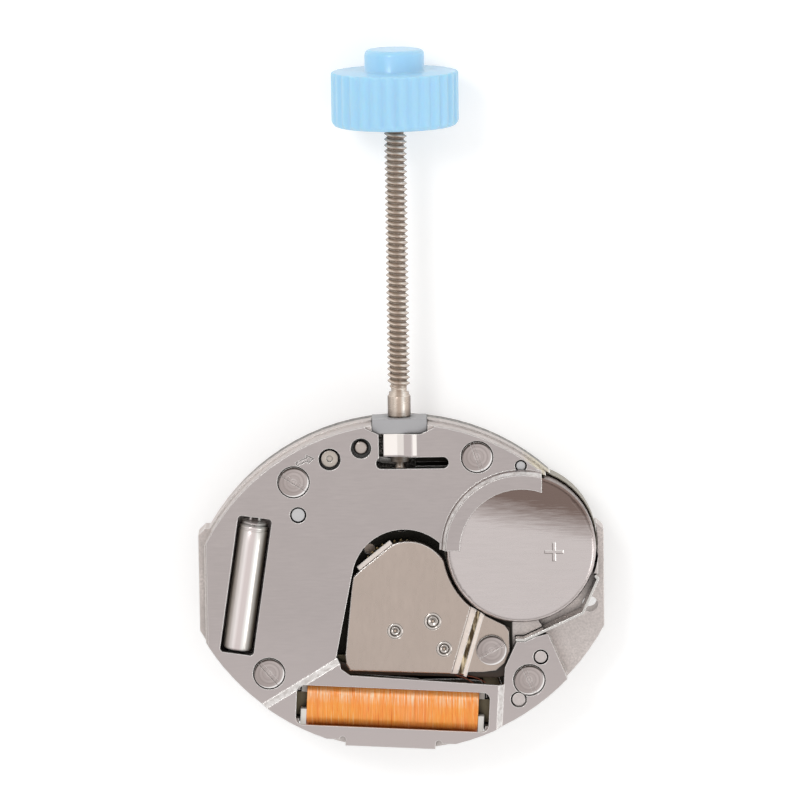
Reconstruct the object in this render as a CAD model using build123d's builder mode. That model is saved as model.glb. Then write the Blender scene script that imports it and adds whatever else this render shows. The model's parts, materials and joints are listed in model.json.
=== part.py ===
import os
from math import atan2, cos, degrees, hypot, pi, radians, sin, sqrt
from build123d import *

# A small two hand quartz watch movement, seen from its back with the winding stem pointing to +Y.
# The origin is on the hand axis in the dial face, +Z points to the battery side. Sizes are in millimetres.

# Stack of layers above the dial face
dial_cover_thick = 0.12
motion_space = 0.50
web_thick = 0.30
board_level = 1.50
board_thick = 0.10
frame_thick = 0.40
sheet_thick = 0.12
ledge_level = 1.10
coil_frame_rise = 0.20
bridge_under = 1.75
bridge_thick = 0.20
foot_thick = 0.20

# Main plate
flat_top = 1.7426
flat_bottom = 2.3033
bottom_margin = 0.2209
span = 40.0
ear_step = 0.25
ear_corner = 0.26
ear_reach = 1.86
rim_inset = 0.07
wall_thick = 0.45
overrun = 0.50
fit_gap = 0.02
run_gap = 0.03
air_gap = 0.05

# Cover sheet
cover_inset = 0.08
lip_width = 0.45
lip_bend_width = 0.17
lip_start_angle = 60
lip_end_angle = 180
lip_clear = 0.03
lip_edge_x = 0.80
lip_foot = 0.06
dish_r = 0.62
dish_wall = 0.06
dish_depth = 0.12
pin_proud = 0.08
pin_gap = 0.06
pin_groove = 0.20
arch_gap = 0.397
arch_x = 0.10
arch_y = 0.15
stripe_width = 0.20
slot_height = 0.44
slot_reach_left = 0.91
slot_reach_right = 1.85
tongue_drop = 0.20
tongue_tip_x = 0.62
tongue_slit = 0.18
tongue_slope_width = 0.55
tongue_fold_x = 0.45
notch_half_width = 1.30
notch_depth = 0.48
notch_share = 0.62
notch_lift_share = 0.50
tab_length = 3.45
tab_height = 0.23
tab_notch_r = 0.12
tab_start = -1.75
arrow_line = 0.035
arrow_depth = 0.03

# Screws
screw_head_r = 0.58
screw_head_high = 0.09
screw_shank_r = 0.25
screw_depth = 0.75
screw_slot = 0.14
screw_slot_depth = 0.06

# Cell and its contacts
battery_r = 2.85
battery_wheel_gap = 0.3122
battery_high = 2.15
battery_y = 1.35
battery_side_gap = 0.33
battery_corner = 0.20
battery_skin = 0.15
cap_inset = 0.50
cap_step = 0.12
gasket_thick = 0.14
insulator_floor = 0.08
insulator_wall = 0.04
contact_thick = 0.10
contact_share = 0.70
well_gap = 0.10
strip_thick = 0.10
strip_gaps = [0.705, 0.710, 0.590, 0.311, 0.196]
strip_angles = [-93.2, -88.7, -47.4, -22.7, -21.6]

# Crystal
can_r = 0.60
can_length = 4.80
can_neck_r = 0.45
can_neck_length = 0.22
can_lean = 8.7
can_level = 1.40
lead_r = 0.07
lead_length = 0.45
lead_spread = 0.34
window_end_gap = 0.27
window_shift = 0.20
window_side_gap = 0.05
window_corner = 0.15
can_corner_share = 0.18

# Coil and stator
coil_slant = -3.3
coil_window_margin = 0.40
coil_gap = 1.2491
coil_window_width = 1.55
coil_window_corner = 0.28
winding_length = 6.58
winding_width = 1.75
winding_high = 1.10
winding_corner = 0.50
winding_shift = 0.10
frame_below = 1.28
flange_thick = 0.22
flange_notch_width = 1.05
flange_notch_y = 0.29
bobbin_wall = 0.05
core_width = 0.90
core_thick = 0.30
core_end = 0.86
stator_thick = 0.30
stator_arm = 0.56
stator_block_side = 0.95
stator_block_above = 0.79
stator_block_below = 1.21
rotor_hole_r = 0.66
stator_notch_r = 0.08
stator_notch_angle = 55

# Wheel train: pitch radii, teeth and levels
centre_pitch_r = 1.534
third_pitch_r = 1.1872
intermediate_pitch_r = 0.9486
minute_pitch_r = 1.275
pinion_teeth = 8
centre_teeth = 40
third_teeth = 32
intermediate_teeth = 36
cannon_teeth = 12
minute_teeth = 36
minute_pinion_teeth = 10
hour_teeth = 40
setting_teeth = 12
addendum_share = 0.90
dedendum_share = 1.25
tip_tooth_share = 0.22
root_tooth_share = 0.60
third_angle = -98.44
intermediate_angle = 14.04
rotor_angle = -68.75
minute_angle = 135.1
wheel_thick = 0.10
wheel_crossings = 5
crossing_share = 0.20
crossing_place_share = 0.55
centre_lift = 0.13
pivot_r = 0.05
arbor_r = 0.11
magnet_r = 0.55
magnet_high = 0.30
bush_r = 0.30
bush_proud = 0.03
jewel_r = 0.33
cup_share = 0.62
cup_depth = 0.05

# Hands and motion work
centre_arbor_r = 0.15
tube_inner_r = 0.18
tube_outer_r = 0.26
tube_below = 0.45
cannon_bore_r = 0.29
cannon_neck_r = 0.42
cannon_waist_r = 0.385
minute_seat_r = 0.35
minute_seat_length = 0.43
hour_bore_r = 0.46
hour_seat_r = 0.60
hour_hub_r = 0.78
hand_reach = 0.98
hub_proud = 0.02
washer_thick = 0.04
washer_width = 0.33
post_r = 0.20
dial_foot_r = 0.30
dial_foot_depth = 0.80
dial_post_r = 0.15
post_gap_r = 0.17
dial_screw_r = 0.20
dial_seat_width = 0.55
dial_screw_depth = 0.40
dial_screw_angles = [-165, -70, 58]

# Stem and setting parts
stem_level = 1.15
stem_travel = 0.80
pinion_travel = 0.25
release_travel = 0.22
thread_r = 0.45
thread_root_r = 0.33
thread_pitch = 0.225
thread_length = 12.15
root_flat_share = 0.20
crest_start_share = 0.45
crest_end_share = 0.75
collar_r = 0.44
collar_length = 0.66
neck_length = 0.24
journal_r = 0.40
journal_length = 1.10
rod_r = 0.36
groove_r = 0.17
groove_width = 0.30
groove_inward = 1.81
shoulder_length = 0.36
shoulder_gap = 0.0813
square_across = 0.34
lever_length = 2.67
lever_thick = 0.14
lever_level = 0.50
lever_arm = 0.24
lever_hub_r = 0.46
nose_r = 0.12
post_cap_r = 0.32
post_neck_r = 0.20
post_foot_r = 0.30
post_foot_high = 0.06
dimple_r = 0.12
spring_post_r = 0.27
spring_thick = 0.08
spring_high = 0.12
spring_bow_share = 1.15
clutch_r = 0.43
clutch_length = 0.70
clutch_pitch_r = 0.372
clutch_teeth = 12
clutch_waist_r = 0.30
clutch_waist = 0.18
engage_gap = 0.06
setting_overlap = 0.12
yoke_thick = 0.12
yoke_width = 0.52
yoke_reach = 1.75
fork_thick = 0.12
guide_half_width = 1.06
guide_depth = 0.54
knob_r = 2.405
knob_high = 2.07
knob_corner = 0.22
boss_r = 1.13
boss_high = 0.74
boss_corner = 0.16
flute_count = 30
flute_r = 0.20
flute_depth = 0.08
knob_start = 17.58

# Circuit
chip_length = 1.30
chip_width = 1.00
chip_high = 0.35

# Places on the plate, as shares of its half width and of its reach up or down
cover_screw_shares = [(-0.523, 0.640), (0.378, 0.779), (-0.659, -0.519), (0.623, -0.579)]
cover_slot_angles = [-33, -70, -49, -66]
pin_shares = (-0.503, 0.438)
pin_hole_r = 0.31
dowel_shares = (0.592, 0.721)
dowel_hole_r = 0.23
dowel_depth = 0.60
corner_pin_shares = [(0.681, -0.442), (0.570, -0.695)]
corner_hole_rs = [0.29, 0.31]
release_hole_r = 0.42
spring_post_hole_r = 0.39
spring_post_shares = (-0.190, 0.841)
crystal_shares = (-0.770, -0.022)
coil_x_share = -0.052
chip_shares = (-0.490, -0.107)
dial_foot_shares = (0.929, -0.160)
arrow_shares = [(-0.508, 0.760), (-0.455, 0.790), (-0.458, 0.804), (-0.424, 0.784),
                (-0.449, 0.757), (-0.452, 0.771), (-0.504, 0.742)]
corner_cover_shares = [(0.564, -0.345), (0.503, -0.505), (0.498, -0.600), (0.480, -0.921),
                       (0.900, -0.921), (0.804, -0.552), (0.717, -0.304)]
clearing_shares = [(0.650, -0.204), (0.717, -0.320), (0.810, -0.567), (0.830, -0.698), (1.100, -0.698),
                   (1.100, 0.050), (0.930, 0.050)]
board_shares = [(-0.270, -0.543), (-0.480, -0.504), (-0.600, -0.407), (-0.640, 0.365), (-0.355, 0.365),
                (-0.340, -0.456), (-0.240, -0.496), (0.080, -0.506)]
fold_start_shares = (-0.707, -0.710)

# Room of the setting lever, as shares of its length from its post
lever_pocket_shares = [(-1.248, -0.274), (-0.871, -0.274), (-0.348, -0.321), (0.218, -0.321),
                       (0.218, 0.328), (-0.581, 0.328), (-0.987, 0.245), (-1.248, 0.103)]

# Arms of the stator, as shares of the core's half length and of the winding's width
left_arm_shares = [(-0.745, 0.885), (-0.965, 0.403), (-0.965, -0.248)]
right_arm_shares = [(0.864, 0.792), (0.945, 0.332), (0.945, -0.172)]

# Bridge outline and what lies beside it, as shares of its width and length from its own corner
bridge_left_margin = 0.30
bridge_right_margin = 1.00
bridge_low_margin = 0.9786
bridge_top_margin = 0.56
bridge_gap = 0.13
bridge_bevel = 0.04
bridge_head_r = 1.57
bridge_head_shares = (0.512, 0.708)
bridge_shares = [(0.006, 0.086), (0.038, 0.033), (0.852, 0.000), (1.033, 0.575), (0.825, 0.797),
                 (0.512, 0.708), (0.312, 0.943), (0.125, 0.796), (0.071, 0.746), (0.056, 0.648),
                 (0.000, 0.157)]
head_cut_shares = [(0.125, 0.796), (0.655, 1.192), (0.125, 1.192)]
flap_end_shares = (0.390, 0.994)
fold_slope_width = 0.22
fold_valley_width = 0.20
fold_rise_width = 0.14
fold_valley_rise = 0.08
flap_width = 0.16
flap_drop = 0.11
neck_shares = [(0.972, 0.008), (1.108, 0.439), (1.275, 0.358), (1.309, 0.312), (1.312, 0.163),
               (1.272, 0.072), (1.203, 0.017), (1.100, 0.006)]
bridge_screw_shares = (1.169, 0.174)
bridge_slot_angle = 28
foot_board_shares = [(0.888, 0.017), (0.969, 0.294), (1.029, 0.442), (1.139, 0.411), (1.317, 0.331),
                     (1.325, -0.020), (1.212, -0.047)]
arch_side_shares = [(-0.075, 0.122), (0.066, 0.775), (0.524, 0.775), (0.524, 0.122)]
coil_frame_shares = [(-0.042, 0.103), (-0.033, 0.064), (0.037, 0.013), (1.223, -0.078)]
fold_end_shares = (-0.063, 0.137)

# Levels that follow from the stack
motion_top = dial_cover_thick + motion_space
train_floor = motion_top + web_thick
frame_level = board_level + board_thick
cover_level = frame_level + frame_thick
bridge_top = bridge_under + bridge_thick
battery_base = insulator_floor + contact_thick
battery_top = battery_base + battery_high
well_r = battery_r + well_gap
cap_r = battery_r - cap_inset
stator_top = train_floor + stator_thick
winding_level = stator_top + core_thick / 2


def step_from(start, distance, direction):
    """Point at a distance and a direction in degrees from another."""
    angle = radians(direction)
    return (start[0] + distance * cos(angle), start[1] + distance * sin(angle))


def centre_distance(module, first_teeth, second_teeth):
    """Distance between two meshed wheels."""
    return module * (first_teeth + second_teeth) / 2


def mesh_phase(phase, teeth, other_teeth, direction):
    """Turn of a wheel in degrees that puts its gap on the tooth of the wheel it meshes with."""
    return direction + 180 + (direction - phase) * teeth / other_teeth + 180 / other_teeth


def tip_radius(teeth, module):
    """Outer radius of a wheel."""
    return module * (teeth / 2 + addendum_share)


def tooth_points(teeth, module, phase):
    """Corners of a toothed outline, four for each tooth."""
    pitch_angle = 2 * pi / teeth
    root = module * (teeth / 2 - dedendum_share)
    tip = tip_radius(teeth, module)
    corners = []
    for number in range(teeth):
        middle = radians(phase) + number * pitch_angle
        for radius, side_share in (
            (root, -root_tooth_share / 2),
            (tip, -tip_tooth_share / 2),
            (tip, tip_tooth_share / 2),
            (root, root_tooth_share / 2),
        ):
            angle = middle + side_share * pitch_angle
            corners.append((radius * cos(angle), radius * sin(angle)))
    return corners


def arc_radius(half_chord, rise):
    """Radius of an arc from half its chord and its rise."""
    return (half_chord**2 + rise**2) / (2 * rise)


# Modules and places of the wheels
centre_module = 2 * centre_pitch_r / centre_teeth
third_module = 2 * third_pitch_r / third_teeth
rotor_module = 2 * intermediate_pitch_r / intermediate_teeth
motion_module = 2 * minute_pitch_r / minute_teeth
clutch_module = 2 * clutch_pitch_r / clutch_teeth
hand_axis = (0, 0)
third_distance = centre_distance(centre_module, centre_teeth, pinion_teeth)
third_place = step_from(hand_axis, third_distance, third_angle)
intermediate_place = step_from(
    third_place, centre_distance(third_module, third_teeth, pinion_teeth), intermediate_angle
)
rotor_place = step_from(
    intermediate_place, centre_distance(rotor_module, intermediate_teeth, pinion_teeth), rotor_angle
)
minute_distance = centre_distance(motion_module, cannon_teeth, minute_teeth)
hour_module = 2 * minute_distance / (minute_pinion_teeth + hour_teeth)
minute_place = step_from(hand_axis, minute_distance, minute_angle)
setting_distance = centre_distance(motion_module, setting_teeth, minute_teeth)
setting_place = (0, minute_place[1] + sqrt(setting_distance**2 - minute_place[0] ** 2))

# Places along the stem
setting_edge = setting_place[1] + tip_radius(setting_teeth, motion_module)
clutch_low = setting_edge + engage_gap + pinion_travel
clutch_high = clutch_low + clutch_length
waist_low = clutch_low + (clutch_length - clutch_waist) / 2
stem_end = clutch_low - pinion_travel - stem_travel
groove_y = clutch_high + shoulder_gap + shoulder_length + groove_width / 2
plate_top = groove_y + groove_inward
lever_place = (-lever_length, groove_y + stem_travel / 2)
guide_outer = plate_top + rim_inset
guide_inner = guide_outer - guide_depth
collar_start = guide_outer + run_gap
thread_start = collar_start + collar_length + neck_length
yoke_low = waist_low + clutch_waist / 2 - yoke_width / 2

# The plate is as wide as the cell beside the centre wheel needs, and reaches down past the coil
centre_tip_r = tip_radius(centre_teeth, centre_module)
battery_x = sqrt((centre_tip_r + battery_wheel_gap + battery_r) ** 2 - battery_y**2)
plate_half_width = battery_x + battery_r + battery_side_gap
arch_r = centre_tip_r + arch_gap
bridge_left = arch_x - arch_r - bridge_left_margin
bridge_low = rotor_place[1] - bridge_low_margin
bridge_width = rotor_place[0] + bridge_right_margin - bridge_left
bridge_length = arch_y + arch_r - bridge_top_margin - bridge_low
core_length = winding_length + 2 * core_end
coil_x = coil_x_share * plate_half_width
coil_y = bridge_low - coil_gap
plate_bottom = frame_below + tab_height + bottom_margin - coil_y
half_chord = plate_half_width - ear_step
top_arc_r = arc_radius(half_chord, plate_top - flat_top)
bottom_arc_r = arc_radius(half_chord, plate_bottom - flat_bottom)


def on_plate(shares):
    """Place on the plate from its two shares."""
    across_share, along_share = shares
    reach = plate_top if along_share > 0 else plate_bottom
    return (across_share * plate_half_width, along_share * reach)


def on_bridge(shares):
    """Place on the bridge from its two shares."""
    across_share, along_share = shares
    return (bridge_left + across_share * bridge_width, bridge_low + along_share * bridge_length)


def beside_core(shares):
    """Place beside the coil's core from its two shares."""
    along_share, across_share = shares
    along = along_share * core_length / 2
    across = across_share * winding_width
    turn = radians(coil_slant)
    return (coil_x + along * cos(turn) - across * sin(turn), coil_y + along * sin(turn) + across * cos(turn))


def by_lever(shares):
    """Place beside the setting lever's post from its two shares."""
    across_share, along_share = shares
    return (across_share * lever_length, lever_place[1] + along_share * lever_length)


def toothed_disc(place, low, high, teeth, module, phase):
    """Toothed disc about a vertical axis in the open part."""
    with BuildSketch(Plane((place[0], place[1], low))) as outline:
        Polygon(*tooth_points(teeth, module, phase), align=None)
    extrude(outline.sketch, amount=high - low)


def shaft(place, steps, mode=Mode.ADD):
    """Turned steps about a vertical axis in the open part, each with its radius and two levels."""
    for radius, low, high in steps:
        with Locations((place[0], place[1], low)):
            Cylinder(radius, high - low, align=(Align.CENTER, Align.CENTER, Align.MIN), mode=mode)


def lens(inset, half_width):
    """Plate outline of two arcs between two flats in the open sketch."""
    with Locations((0, plate_top - top_arc_r)):
        Circle(top_arc_r - inset)
    with Locations((0, bottom_arc_r - plate_bottom)):
        Circle(bottom_arc_r - inset, mode=Mode.INTERSECT)
    Rectangle(2 * half_width, span, mode=Mode.INTERSECT)


def pocket(points, low, high):
    """Cut a many sided pocket in the open part."""
    with BuildSketch(Plane.XY.offset(low)) as outline:
        Polygon(*points, align=None)
    extrude(outline.sketch, amount=high - low, mode=Mode.SUBTRACT)


def round_pocket(place, radius, low, high):
    """Cut a round pocket in the open part."""
    shaft(place, [(radius, low, high)], mode=Mode.SUBTRACT)


def strip_outline(points, width):
    """Band of even width along a line of points in the open sketch, with round joints."""
    for start, end in zip(points, points[1:]):
        length = hypot(end[0] - start[0], end[1] - start[1])
        turn = degrees(atan2(end[1] - start[1], end[0] - start[0]))
        middle = ((start[0] + end[0]) / 2, (start[1] + end[1]) / 2)
        with Locations(Location((middle[0], middle[1], 0), (0, 0, turn))):
            Rectangle(length, width)
    with Locations(*points):
        Circle(width / 2)


def stator_outline(arm_width, margin):
    """Stator plate in the open sketch: a block round the rotor and an arm to each end of the core."""
    left = rotor_place[0] - stator_block_side - margin
    right = rotor_place[0] + stator_block_side + margin
    top = rotor_place[1] + stator_block_above + margin
    low = rotor_place[1] - stator_block_below - margin
    Polygon((left, top), (right, top), (right, low), (left, low), align=None)
    for side, arm_shares in ((-1, left_arm_shares), (1, right_arm_shares)):
        start = (
            rotor_place[0] + side * (stator_block_side - stator_arm / 2),
            rotor_place[1] - stator_block_below + stator_arm / 2,
        )
        strip_outline([start] + [beside_core(shares) for shares in arm_shares], arm_width)


def along_edge(start, end, profile):
    """Bar of one profile along an edge in the open part, its width to the left of the edge's run."""
    length = hypot(end[0] - start[0], end[1] - start[1])
    run_x = (end[0] - start[0]) / length
    run_y = (end[1] - start[1]) / length
    edge_plane = Plane((start[0], start[1], 0), x_dir=(-run_y, run_x, 0), z_dir=(run_x, run_y, 0))
    with BuildSketch(edge_plane) as outline:
        Polygon(*profile, align=None)
    extrude(outline.sketch, amount=length)


def across_stem(place):
    """Plane that faces along the stem at a place on +Y."""
    return Plane((0, place, stem_level), x_dir=(1, 0, 0), z_dir=(0, 1, 0))


def strip_room(low, high):
    """Cut the gap of the contact strip in the open part."""
    with BuildSketch(Plane.XY.offset(low)) as outline:
        strip_outline(strip_points, strip_thick + 2 * fit_gap)
    extrude(outline.sketch, amount=high - low, mode=Mode.SUBTRACT)


# Turns that bring the teeth into mesh
centre_phase = 0
third_pinion_phase = mesh_phase(centre_phase, centre_teeth, pinion_teeth, third_angle)
third_phase = 0
intermediate_pinion_phase = mesh_phase(third_phase, third_teeth, pinion_teeth, intermediate_angle)
intermediate_phase = 0
rotor_phase = mesh_phase(intermediate_phase, intermediate_teeth, pinion_teeth, rotor_angle)
cannon_phase = 0
minute_phase = mesh_phase(cannon_phase, cannon_teeth, minute_teeth, minute_angle)
minute_pinion_phase = 0
hour_phase = mesh_phase(minute_pinion_phase, minute_pinion_teeth, hour_teeth, minute_angle + 180)
setting_angle = degrees(atan2(setting_place[1] - minute_place[1], setting_place[0] - minute_place[0]))
setting_phase = mesh_phase(minute_phase, minute_teeth, setting_teeth, setting_angle)

# Levels of the wheels
centre_wheel_low = train_floor + centre_lift
magnet_low = train_floor + run_gap
rotor_pinion_low = magnet_low + magnet_high + 2 * air_gap
intermediate_low = rotor_pinion_low + air_gap
intermediate_pinion_low = intermediate_low + wheel_thick + run_gap
third_low = intermediate_low + wheel_thick + 2 * run_gap
pinion_high = bridge_under - air_gap
hour_low = dial_cover_thick + air_gap + run_gap
minute_low = motion_top - 2 * air_gap - wheel_thick - run_gap
setting_high = stem_level - clutch_r + setting_overlap

# Line of the contact strip round the cell
strip_points = [
    step_from((battery_x, battery_y), battery_r + gap, angle) for gap, angle in zip(strip_gaps, strip_angles)
]

# Planes that lean with the crystal and the coil
spring_post_place = on_plate(spring_post_shares)
crystal_x, crystal_y = on_plate(crystal_shares)
crystal_plane = Plane(
    (crystal_x, crystal_y, 0), x_dir=(cos(radians(can_lean)), -sin(radians(can_lean)), 0), z_dir=(0, 0, 1)
)
coil_plane = Plane(
    (coil_x, coil_y, 0), x_dir=(cos(radians(coil_slant)), sin(radians(coil_slant)), 0), z_dir=(0, 0, 1)
)
box_length = winding_length + 2 * flange_thick + 2 * air_gap
box_width = winding_width + 2 * air_gap
crystal_box_length = can_length + can_neck_length + lead_length + 4 * air_gap
crystal_box_width = 2 * can_r + 4 * air_gap

pieces = {}

with BuildPart() as main_plate:
    with BuildSketch():
        lens(0, plate_half_width)
        ear_x = plate_half_width - ear_corner
        ear_y = ear_reach + ear_corner
        Polygon(
            (plate_half_width, ear_reach), (ear_x, ear_y), (-ear_x, ear_y), (-plate_half_width, ear_reach),
            (-plate_half_width, -ear_reach), (-ear_x, -ear_y), (ear_x, -ear_y),
            (plate_half_width, -ear_reach), align=None,
        )
    extrude(amount=ledge_level)
    with BuildSketch(Plane.XY.offset(ledge_level)):
        lens(rim_inset, plate_half_width - ear_step)
    extrude(amount=cover_level - ledge_level)
    # Flat edge along the coil
    with BuildSketch(coil_plane):
        with Locations((0, -frame_below - tab_height - span / 2)):
            Rectangle(span, span)
    extrude(amount=cover_level, mode=Mode.SUBTRACT)
    # Recess that holds the circuit and the plastic frame
    with BuildSketch(Plane.XY.offset(board_level)):
        lens(rim_inset + wall_thick, plate_half_width - ear_step - wall_thick)
    extrude(amount=cover_level - board_level, mode=Mode.SUBTRACT)
    with BuildSketch(Plane.XY.offset(board_level)):
        lens(rim_inset, plate_half_width - ear_step)
        with Locations(coil_plane.location):
            with Locations((0, -frame_below - tab_height + wall_thick / 2)):
                Rectangle(box_length, wall_thick, mode=Mode.INTERSECT)
    extrude(amount=cover_level - board_level)
    # Well of the cell
    round_pocket((battery_x, battery_y), well_r, 0, cover_level)
    # Bed of the crystal
    with BuildSketch(crystal_plane.offset(can_level - can_r - air_gap)):
        with Locations((0, (can_neck_length + lead_length) / 2)):
            Rectangle(crystal_box_width, crystal_box_length)
    extrude(amount=cover_level, mode=Mode.SUBTRACT)
    # Bed of the coil and of the ends of its core
    with BuildSketch(coil_plane.offset(winding_level - winding_high / 2 - air_gap)):
        with Locations((0, -winding_shift)):
            Rectangle(box_length, box_width)
    extrude(amount=cover_level, mode=Mode.SUBTRACT)
    with BuildSketch(coil_plane.offset(stator_top)):
        with Locations((0, -winding_shift)):
            Rectangle(core_length + 2 * air_gap, core_width + 2 * air_gap)
    extrude(amount=cover_level, mode=Mode.SUBTRACT)
    # Wheel pockets
    round_pocket((arch_x, arch_y), arch_r + air_gap, train_floor, cover_level)
    pocket([on_bridge(shares) for shares in arch_side_shares], train_floor, cover_level)
    round_pocket(hand_axis, tip_radius(centre_teeth, centre_module) + 2 * air_gap, train_floor, cover_level)
    round_pocket(third_place, tip_radius(pinion_teeth, centre_module) + 3 * air_gap, train_floor, cover_level)
    round_pocket(third_place, tip_radius(third_teeth, third_module) + 2 * air_gap, board_level, cover_level)
    round_pocket(intermediate_place, arbor_r + 2 * air_gap, train_floor, cover_level)
    round_pocket(
        intermediate_place, tip_radius(intermediate_teeth, rotor_module) + 2 * air_gap,
        intermediate_low - air_gap, cover_level,
    )
    for place in (third_place, intermediate_place, rotor_place):
        round_pocket(place, pivot_r + fit_gap, train_floor - 2 * wheel_thick, train_floor)
    # Bed of the stator
    with BuildSketch(Plane.XY.offset(train_floor)):
        stator_outline(stator_arm + 2 * air_gap, air_gap)
    extrude(amount=board_level - train_floor, mode=Mode.SUBTRACT)
    # Pocket of the chip
    chip_place = on_plate(chip_shares)
    with BuildSketch(Plane.XY.offset(board_level - chip_high - air_gap)):
        with Locations(chip_place):
            Rectangle(chip_width + 2 * air_gap, chip_length + 2 * air_gap)
    extrude(amount=chip_high + air_gap, mode=Mode.SUBTRACT)
    # Room for the setting lever, the yoke and the stem
    pocket(
        [by_lever(shares) for shares in lever_pocket_shares],
        lever_level - release_travel - 3 * post_foot_high, cover_level,
    )
    yoke_floor = lever_level - fit_gap
    with BuildSketch(Plane.XY.offset(yoke_floor)):
        with Locations((-yoke_reach - 2 * air_gap, yoke_low - pinion_travel - air_gap)):
            Rectangle(
                yoke_reach + clutch_r + 6 * air_gap, groove_y - yoke_low, align=(Align.MIN, Align.MIN)
            )
    extrude(amount=cover_level - yoke_floor, mode=Mode.SUBTRACT)
    stem_floor = stem_level - clutch_r - air_gap
    with BuildSketch(Plane.XY.offset(stem_floor)):
        with Locations((0, stem_end - 3 * air_gap)):
            Rectangle(
                2 * (clutch_r + 2 * air_gap), guide_inner - stem_end + 4 * air_gap,
                align=(Align.CENTER, Align.MIN),
            )
    extrude(amount=cover_level - stem_floor, mode=Mode.SUBTRACT)
    tongue_level = cover_level - tongue_drop - air_gap
    with BuildSketch(Plane.XY.offset(tongue_level)):
        with Locations((-slot_reach_left, groove_y)):
            Rectangle(
                slot_reach_left + slot_reach_right, guide_inner - groove_y, align=(Align.MIN, Align.MIN)
            )
    extrude(amount=cover_level - tongue_level, mode=Mode.SUBTRACT)
    with BuildSketch(Plane.XY.offset(stem_floor)):
        with Locations((-slot_reach_left, groove_y)):
            Rectangle(slot_reach_left + slot_reach_right, slot_height, align=(Align.MIN, Align.MIN))
    extrude(amount=cover_level - stem_floor, mode=Mode.SUBTRACT)
    with BuildSketch(Plane.XY.offset(stem_floor)):
        with Locations((0, guide_inner)):
            Rectangle(2 * guide_half_width, 2 * guide_depth, align=(Align.CENTER, Align.MIN))
    extrude(amount=cover_level - stem_floor, mode=Mode.SUBTRACT)
    # Recess of the motion work, open to the dial
    motion_r = tip_radius(hour_teeth, hour_module) + 2 * air_gap
    minute_r = tip_radius(minute_teeth, motion_module) + 2 * air_gap
    setting_r = tip_radius(setting_teeth, motion_module) + air_gap
    round_pocket(hand_axis, motion_r, dial_cover_thick, motion_top)
    round_pocket(minute_place, minute_r, dial_cover_thick, motion_top)
    round_pocket(setting_place, setting_r, dial_cover_thick, setting_high + 2 * air_gap)
    for place, radius in ((hand_axis, motion_r), (minute_place, minute_r), (setting_place, setting_r)):
        round_pocket(place, radius + dial_seat_width, 0, dial_cover_thick)
    dial_screw_reach = motion_r + dial_seat_width / 2
    dial_screw_places = [step_from(hand_axis, dial_screw_reach, angle) for angle in dial_screw_angles]
    for place in dial_screw_places:
        round_pocket(place, dial_screw_r, 0, dial_cover_thick + dial_screw_depth)
    round_pocket(hand_axis, tube_outer_r, motion_top, train_floor)
    round_pocket(minute_place, post_r, motion_top, train_floor)
    # Lower step beside the cell
    pocket([on_plate(shares) for shares in clearing_shares], ledge_level, cover_level)
    strip_room(ledge_level, cover_level)
    # Holes of the dial feet, of the dowel and of the screws
    foot_x, foot_y = on_plate(dial_foot_shares)
    round_pocket((foot_x, foot_y), dial_foot_r, 0, ledge_level)
    round_pocket((-foot_x, -foot_y), dial_foot_r, 0, dial_foot_depth)
    dowel_place = on_plate(dowel_shares)
    dowel_r = dowel_hole_r - pin_gap
    round_pocket(dowel_place, dowel_r, cover_level - dowel_depth, cover_level)
    round_pocket(dowel_place, dowel_hole_r, cover_level - pin_groove, cover_level)
    for shares in cover_screw_shares:
        round_pocket(on_plate(shares), dish_r + dish_wall + fit_gap, cover_level - dish_depth, cover_level)
        round_pocket(on_plate(shares), screw_shank_r, cover_level - dish_depth - screw_depth, cover_level)
    round_pocket(on_bridge(bridge_screw_shares), screw_shank_r, frame_level - screw_depth, cover_level)
pieces["main_plate"] = main_plate

with BuildPart() as cover_dowel:
    shaft(dowel_place, [(dowel_r, cover_level - dowel_depth, cover_level + pin_proud)])
pieces["cover_dowel"] = cover_dowel

# Dial side cover, held by three flat screws, and what it carries
with BuildPart() as dial_side_cover:
    with BuildSketch():
        for place, radius in ((hand_axis, motion_r), (minute_place, minute_r), (setting_place, setting_r)):
            with Locations(place):
                Circle(radius + dial_seat_width - fit_gap)
        with Locations((battery_x, battery_y)):
            Circle(well_r + air_gap, mode=Mode.SUBTRACT)
        with Locations(hand_axis):
            Circle(hour_hub_r + air_gap, mode=Mode.SUBTRACT)
        with Locations(setting_place, minute_place):
            Circle(dial_post_r, mode=Mode.SUBTRACT)
    extrude(amount=dial_cover_thick)
    for place in dial_screw_places:
        round_pocket(place, dial_screw_r, 0, dial_cover_thick)
pieces["dial_side_cover"] = dial_side_cover

with BuildPart() as dial_cover_screws:
    for place in dial_screw_places:
        shaft(place, [(dial_screw_r, 0, dial_cover_thick + dial_screw_depth)])
    with BuildSketch():
        with Locations(*dial_screw_places):
            Rectangle(2 * dial_screw_r, screw_slot / 2)
    extrude(amount=screw_slot_depth / 2, mode=Mode.SUBTRACT)
pieces["dial_cover_screws"] = dial_cover_screws

with BuildPart() as centre_tube:
    shaft(hand_axis, [(tube_outer_r, -tube_below, train_floor)])
    round_pocket(hand_axis, tube_inner_r, -tube_below, train_floor)
pieces["centre_tube"] = centre_tube

with BuildPart() as setting_wheel_post:
    shaft(setting_place, [(dial_post_r, 0, setting_high)])
pieces["setting_wheel_post"] = setting_wheel_post

with BuildPart() as minute_wheel_post:
    shaft(minute_place, [(dial_post_r, 0, motion_top), (post_r, motion_top, train_floor)])
pieces["minute_wheel_post"] = minute_wheel_post

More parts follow.
